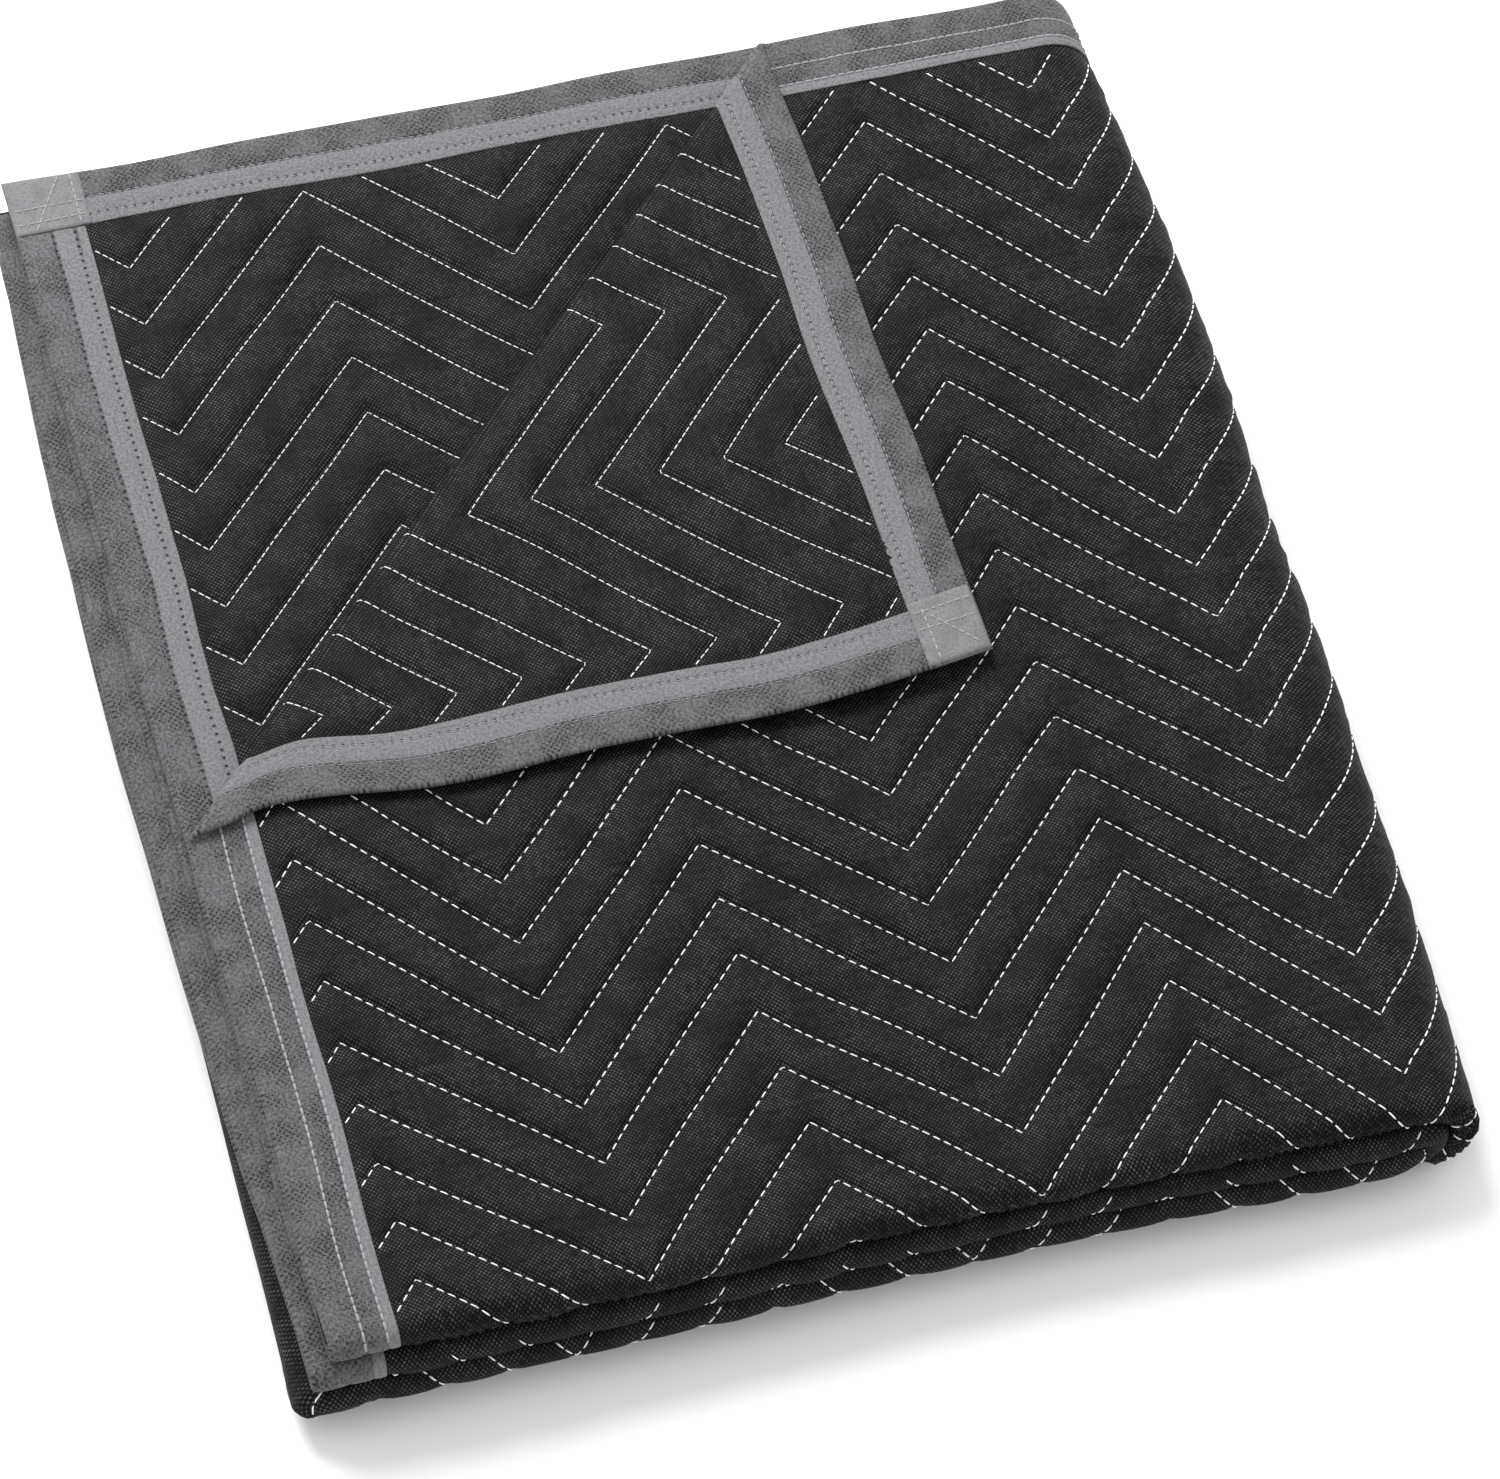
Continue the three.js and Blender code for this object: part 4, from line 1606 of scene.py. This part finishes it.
@dataclass
class BindingStrip:
    """A strip of felted tape folded over one edge of the cloth and stitched down in two lines."""

    edge: Edge
    tuck: float = 3.0
    clearance: float = 0.12
    inner_insets: tuple[float, ...] = (25, 12, 0.2)
    cap_places: tuple[float, ...] = (0, 0.25, 0.49, 0.51, 0.75, 1)
    skin: float = 0.6
    thin_end: float = 0.62
    crease_step: float = 1.2
    least: float = 0.8
    waver: float = 0.7
    waver_size: float = 38.0
    pucker: float = 0.22
    pucker_size: float = 8.0
    stitch_insets: tuple[float, float] = (12.0, 20.6)
    profile: Table = Table(
        ("inset", "height"),
        ((0, 1.15), (3, 1.45), (8, 1.42), (10.6, 1.3), (12, 0.98), (13.4, 1.3), (16.5, 1.45),
         (19.4, 1.28), (20.6, 0.98), (21.8, 1.22), (24, 1.22), (25, 1.08)))
    insets: tuple[float, ...] = (25, 24.6, 23.5, 22.4, 21.5, 20.6, 19.7, 18.6, 17, 15, 13.7, 12.8, 12,
                                 11.2, 10.3, 8.5, 6, 3.5, 1.6, 0.5)

    @property
    def length(self) -> float:
        """Length of the edge that it binds."""
        return LENGTH if self.edge.down else WIDTH

    @property
    def first(self) -> float:
        """Where the strip starts, tucked under its corner patch."""
        return (PILE.binding if self.edge.down else PILE.patch) - self.tuck

    def stops(self) -> Array:
        """Places along the strip for its sections: close together where it shows or bends.

        Returns:
            The places, in order.
        """
        path = PILE.depth_path if self.edge.down else PILE.width_path
        until, apart = {Edge.LEFT_TOP: (540, 3.0), Edge.FAR_TOP: (480, 3.0),
                        Edge.FAR_SECOND: (330, 3.0), Edge.LEFT_SECOND: (self.length, 9.0)}[self.edge]
        shown = list(np.arange(self.first, until, apart))
        crease = self.edge.crease_at
        if crease:
            shown += list(np.arange(crease - 42, crease + 6, self.crease_step))
        ends = [self.first, self.length - self.first]
        found = np.unique(np.round([*path.stops(24, 8), *shown, *ends], 3))
        found = found[(found >= ends[0]) & (found <= ends[1])]
        keep = np.append(True, np.diff(found) > self.least)
        keep[-1] = True
        return found[keep]

    def section(self) -> tuple[Array, Array]:
        """The closed section as insets and heights, outside first and then back inside.

        Returns:
            Inset and height of each point.
        """
        insets = np.array(self.insets)
        heights = self.profile.read("height", insets)
        round_edge = [(-0.35, 0.95), (-0.8, 0.5), (-0.95, 0.0), (-0.8, -0.5), (-0.35, -0.95)]
        outer = [*zip(insets, heights), *round_edge, *zip(insets[::-1], -heights[::-1])]
        inside = PILE.pressed / 2 + self.clearance
        inner = [*((inset, -inside) for inset in self.inner_insets),
                 *((inset, inside) for inset in reversed(self.inner_insets))]
        points = np.array([*outer, *inner])
        return points[:, 0], points[:, 1]

    def shape(self, along: Array, inset: Array, height: Array) -> tuple[Array, Array, Array]:
        """Wavers the inner edge, puckers the surface, and thins the ends under the patches.

        Args:
            along: places along the strip.
            inset: insets from the edge.
            height: heights off the middle of the cloth.

        Returns:
            The same three, shaped.
        """
        slow = self.waver * Noise(Seed.WAVER).at(along, along * 0, self.waver_size)
        inset = inset * (1 + slow / PILE.binding)
        quick = self.pucker * Noise(Seed.TAPE_PUCKER).at(along, inset * 2, self.pucker_size)
        quick = quick * smooth(2, 6, inset)
        end = np.minimum(along, self.length - along) - self.first
        thin = lerp(self.thin_end, 1.0, smooth(0, self.tuck + 2, end))
        outside = np.abs(height) > self.skin
        height = height + np.sign(height) * quick * outside * (inset > 0)
        height = np.where(outside, height * thin, height)
        return along, inset, height

    def build(self, material: Material) -> bpy.types.Object:
        """Sweeps the section along the edge.

        Args:
            material: its finish.

        Returns:
            The piece.
        """
        stops = self.stops()
        insets, heights = self.section()
        size = len(insets)
        along = np.repeat(stops, size)
        inset, height = np.tile(insets, len(stops)), np.tile(heights, len(stops))
        along, shaped, height = self.shape(along, inset, height)
        points = PILE.place(*self.edge.flat(along, shaped), height)
        flat = np.stack([along, np.where(height < 0, -1, 1) * np.maximum(inset, 0.01)], -1) * MM
        rings = np.arange(len(stops) * size).reshape(len(stops), size)
        turned = np.roll(rings, -1, axis=1)
        a, b, c, d = (part.ravel() for part in (rings[:-1], turned[:-1], turned[1:], rings[1:]))
        triangles = [np.stack([a, b, c], 1), np.stack([a, c, d], 1)]
        inner = len(self.cap_places)
        outer = size - inner
        start = zip_edges(np.arange(outer), size - 1 - np.arange(inner),
                          np.linspace(0, 1, outer), np.array(self.cap_places))
        end = start[:, ::-1] + (len(stops) - 1) * size
        triangles = np.concatenate([*triangles, start, end])
        if self.edge.mirrored:
            triangles = triangles[:, ::-1]
        piece = Piece(f"tape_{self.edge.value}", points, triangles[:, ::-1], flat)
        return piece.build(material, "binding", f"binding_{self.edge.value}")


@dataclass
class BindingStitches:
    """The two stitch lines of each strip: long on its upper side, short and sunk on its under side."""

    upper: Stitching = Stitching(length=3.7, gap=-0.25, radius=0.52, lift=0.25, seed=7)
    under: Stitching = Stitching(length=2.3, gap=1.2, radius=0.22, lift=0.05, seed=8)
    roll: float = 6.0
    height: float = 0.98

    def spans(self, edge: Edge, inset: float) -> list[tuple[Face, float, float]]:
        """Which face shows between which places along an edge, on a line at an inset from it.

        Args:
            edge: the edge.
            inset: inset of the line.

        Returns:
            Each face with its first and last place.
        """
        right = PILE.width_path.legs[1]
        near = PILE.depth_path.legs[1]
        if edge is Edge.LEFT_TOP:
            crease = PILE.crease_left * (1 - inset / PILE.crease_far)
            return [(Face.UNDER, PILE.binding + 1, crease - self.roll), (Face.UPPER, crease, near.start + 8)]
        if edge is Edge.FAR_TOP:
            crease = PILE.crease_far * (1 - inset / PILE.crease_left)
            end = right.start + right.length + PILE.width_run
            return [(Face.UNDER, PILE.patch + 1, crease - self.roll), (Face.UPPER, crease, end)]
        if edge is Edge.FAR_SECOND:
            return [(Face.UNDER, PILE.patch + 1, PILE.crease_far)]
        return [(Face.UNDER, LENGTH - PILE.crease_left, LENGTH - PILE.binding - 1)]

    def build(self, edge: Edge, strip: BindingStrip, material: Material) -> bpy.types.Object:
        """Sews both lines on one strip.

        Args:
            edge: the edge that it binds.
            strip: the strip.
            material: the thread.

        Returns:
            The piece.
        """
        lines = SewnLines(f"tape_stitches_{edge.value}")
        for inset in strip.stitch_insets:
            for face, low, high in self.spans(edge, inset):
                stitching = self.upper if face is Face.UPPER else self.under
                along = np.arange(low, high, 1.0)
                ones = np.ones_like(along)
                _, shaped, height = strip.shape(along, inset * ones, self.height * ones)
                u, v = edge.flat(along, shaped)
                lines.add(*stitching.sew(u, v, height, face))
        return lines.build(material)


Line = tuple[tuple[float, float], tuple[float, float]]
LINES_ALONG: tuple[Line, ...] = (
    ((22.8, 0.6), (22.8, 24.4)), ((15, 0.6), (15.4, 24.4)), ((1, 19.6), (26.5, 20)), ((3, 3), (22, 19)))
LINES_ACROSS: tuple[Line, ...] = (
    ((0.6, 20.6), (27.2, 20)), ((0.6, 14), (27.2, 13.4)), ((24.6, 0.6), (24.2, 24.4)), ((20, 1), (7, 24.2)))


@dataclass
class CornerPatch:
    """A small patch folded over a corner of the cloth, closed along both its edges."""

    index: int
    at_width: bool
    at_length: bool
    outside: float = 1.55
    wall: float = 0.5
    overhang: float = 1.1
    step: float = 1.6
    rounding: float = 2.0
    seams: tuple[Line, ...] = LINES_ACROSS

    def flat(self, u: Array, v: Array) -> tuple[Array, Array]:
        """Carries insets from the corner to the flat cloth."""
        return (WIDTH - u if self.at_width else u, LENGTH - v if self.at_length else v)

    def build(self, material: Material) -> bpy.types.Object:
        """Makes the pocket from a rounded box that is open along its two inner sides.

        Args:
            material: its finish.

        Returns:
            The piece.
        """
        mesh = bmesh.new()
        low, high_u, high_v = -self.overhang, PILE.patch, PILE.binding
        count_u, count_v = round((high_u - low) / self.step), round((high_v - low) / self.step)
        us, vs = np.linspace(low, high_u, count_u + 1), np.linspace(low, high_v, count_v + 1)
        rows = {}
        for sign in (1, -1):
            for i, u in enumerate(us):
                for j, v in enumerate(vs):
                    edge = min(u - low, v - low)
                    flat = min(edge / self.rounding, 1)
                    droop = self.outside * (1 - math.sqrt(max(0, 1 - (1 - flat) ** 2)))
                    height = sign * max(self.outside - droop, 0)
                    if sign < 0 and edge < 1e-6:
                        rows[i, j, sign] = rows[i, j, 1]
                        continue
                    rows[i, j, sign] = mesh.verts.new((u, v, height))
            for i in range(count_u):
                for j in range(count_v):
                    first = rows[i, j, sign]
                    around = [rows[i + 1, j, sign], rows[i + 1, j + 1, sign], rows[i, j + 1, sign]][::sign]
                    mesh.faces.new((first, around[0], around[1]))
                    mesh.faces.new((first, around[1], around[2]))
        mesh.normal_update()
        bmesh.ops.solidify(mesh, geom=mesh.faces[:], thickness=self.wall)
        bmesh.ops.triangulate(mesh, faces=mesh.faces[:])
        bmesh.ops.recalc_face_normals(mesh, faces=mesh.faces[:])
        places, triangles = read_mesh(mesh)
        u, v = self.flat(places[:, 0], places[:, 1])
        points = PILE.place(u, v, places[:, 2])
        if self.at_width == self.at_length:
            triangles = triangles[:, ::-1]
        flat = np.stack([u, v], -1) * MM
        piece = Piece(f"patch_{self.index}", points, triangles, flat)
        return piece.build(material, "corner_patch", f"corner_patch_{self.index}")

    def sew(self, lines: SewnLines, stitching: Stitching, face: Face) -> None:
        """Sews the lines that hold the patch on one face.

        Args:
            lines: where the stitches are gathered.
            stitching: how they are sewn.
            face: the face that is sewn on.
        """
        for start, end in self.seams:
            share = np.linspace(0, 1, 40)
            u, v = (lerp(*ends, share) for ends in zip(start, end))
            lines.add(*stitching.sew(*self.flat(u, v), np.full_like(share, self.outside), face))


@dataclass
class MovingPad:
    """The whole pad: cloth, four strips, four patches and their stitches."""

    patches: tuple[CornerPatch, ...] = (
        CornerPatch(1, False, False, seams=LINES_ALONG), CornerPatch(2, False, True),
        CornerPatch(3, True, False), CornerPatch(4, True, True))

    def build(self) -> None:
        tape = FeltTape().make()
        patch_felt = FeltPatch().make()
        white = Thread("white_thread", (0.86, 0.86, 0.84)).make()
        pale = Thread("pale_grey_thread", (0.3, 0.3, 0.31)).make()
        cloth = Cloth().build(QuiltedCloth().make())
        pieces = [SeamStitches().build(where, white) for where in Seams]
        for edge in Edge:
            strip = BindingStrip(edge)
            pieces.append(strip.build(tape))
            pieces.append(BindingStitches().build(edge, strip, pale))
        patch_stitches = SewnLines("patch_stitches")
        for patch in self.patches:
            pieces.append(patch.build(patch_felt))
            for face in Face:
                patch.sew(patch_stitches, Stitching(length=3.2, gap=0.1, radius=0.4), face)
        pieces.append(patch_stitches.build(pale))


@dataclass(frozen=True)
class Studio:
    """Pale floor, one soft light over the far side, and the camera."""

    azimuth: float = -19.457
    elevation: float = 56.727
    roll: float = 5.176
    distance: float = 2731.878
    aim: tuple[float, float, float] = (210.29, -310.12, 49.5)
    lens: float = 180.0
    sensor: float = 36.0
    far_clip: float = 50.0
    floor_half: float = 12.0
    floor_drop: float = 0.0004
    floor_dark: tuple[float, float, float] = (0.86, 0.86, 0.86)
    floor_light: tuple[float, float, float] = (0.9, 0.9, 0.9)
    key_place: tuple[float, float, float] = (-0.5, 1.4, 2.0)
    key_size: float = 1.5
    key_power: float = 76.0
    sky: float = 1.05

    def camera(self) -> None:
        """Sets the camera at the viewing angle."""
        a, e, r = (math.radians(x) for x in (self.azimuth, self.elevation, self.roll))
        back = Vector((math.sin(a) * math.cos(e), -math.cos(a) * math.cos(e), math.sin(e)))
        level = Vector((math.cos(a), math.sin(a), 0))
        upright = back.cross(level)
        right = math.cos(r) * level + math.sin(r) * upright
        up = back.cross(right)
        data = bpy.data.cameras.new("camera")
        data.lens, data.sensor_width = self.lens, self.sensor
        data.clip_end = self.far_clip
        camera = bpy.data.objects.new("camera", data)
        origin = Vector((-PILE.origin_across, PILE.origin_depth, 0))
        place = (Vector(self.aim) + origin + back * self.distance) * MM
        turn = Matrix((right, up, back)).transposed().to_4x4()
        camera.matrix_world = Matrix.Translation(place) @ turn
        bpy.context.scene.collection.objects.link(camera)
        bpy.context.scene.camera = camera

    def floor(self) -> None:
        """Lays the floor."""
        finish = Finish("pale_floor")
        places = finish.node("ShaderNodeTexCoord").outputs["Object"]
        share = finish.noise(places, 0.8, 2.0)
        finish.colour(share, self.floor_dark, self.floor_light)
        finish.surface(0.9, 0.0, 0.2)
        half = self.floor_half
        mesh = bpy.data.meshes.new("floor")
        corners = [(-half, -half, 0), (half, -half, 0), (half, half, 0), (-half, half, 0)]
        mesh.from_pydata(corners, [], [(0, 1, 2, 3)])
        mesh.materials.append(finish.material)
        floor = bpy.data.objects.new("floor", mesh)
        floor.location.z = -self.floor_drop
        bpy.context.scene.collection.objects.link(floor)

    def light(self) -> None:
        """Hangs the soft key light, which faces the middle of the pad."""
        data = bpy.data.lights.new("key", "AREA")
        data.shape, data.size, data.energy = "DISK", self.key_size, self.key_power
        light = bpy.data.objects.new("key", data)
        light.location = self.key_place
        light.rotation_mode = "QUATERNION"
        light.rotation_quaternion = Vector(self.key_place).to_track_quat("Z", "Y")
        bpy.context.scene.collection.objects.link(light)

    def build(self) -> None:
        """Sets the camera, the floor, the sky and the light."""
        self.camera()
        self.floor()
        world = bpy.data.worlds.new("studio")
        bpy.context.scene.world = world
        world.use_nodes = True
        background = world.node_tree.nodes["Background"]
        background.inputs["Color"].default_value = (1, 1, 1, 1)
        background.inputs["Strength"].default_value = self.sky
        self.light()
        bpy.context.scene.view_settings.view_transform = "Standard"


def main() -> None:
    """Builds the scene."""
    logging.basicConfig(level=logging.INFO, format="%(name)s %(message)s")
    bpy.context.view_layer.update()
    Studio().build()
    MovingPad().build()
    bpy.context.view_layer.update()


if __name__ == "__main__":
    main()
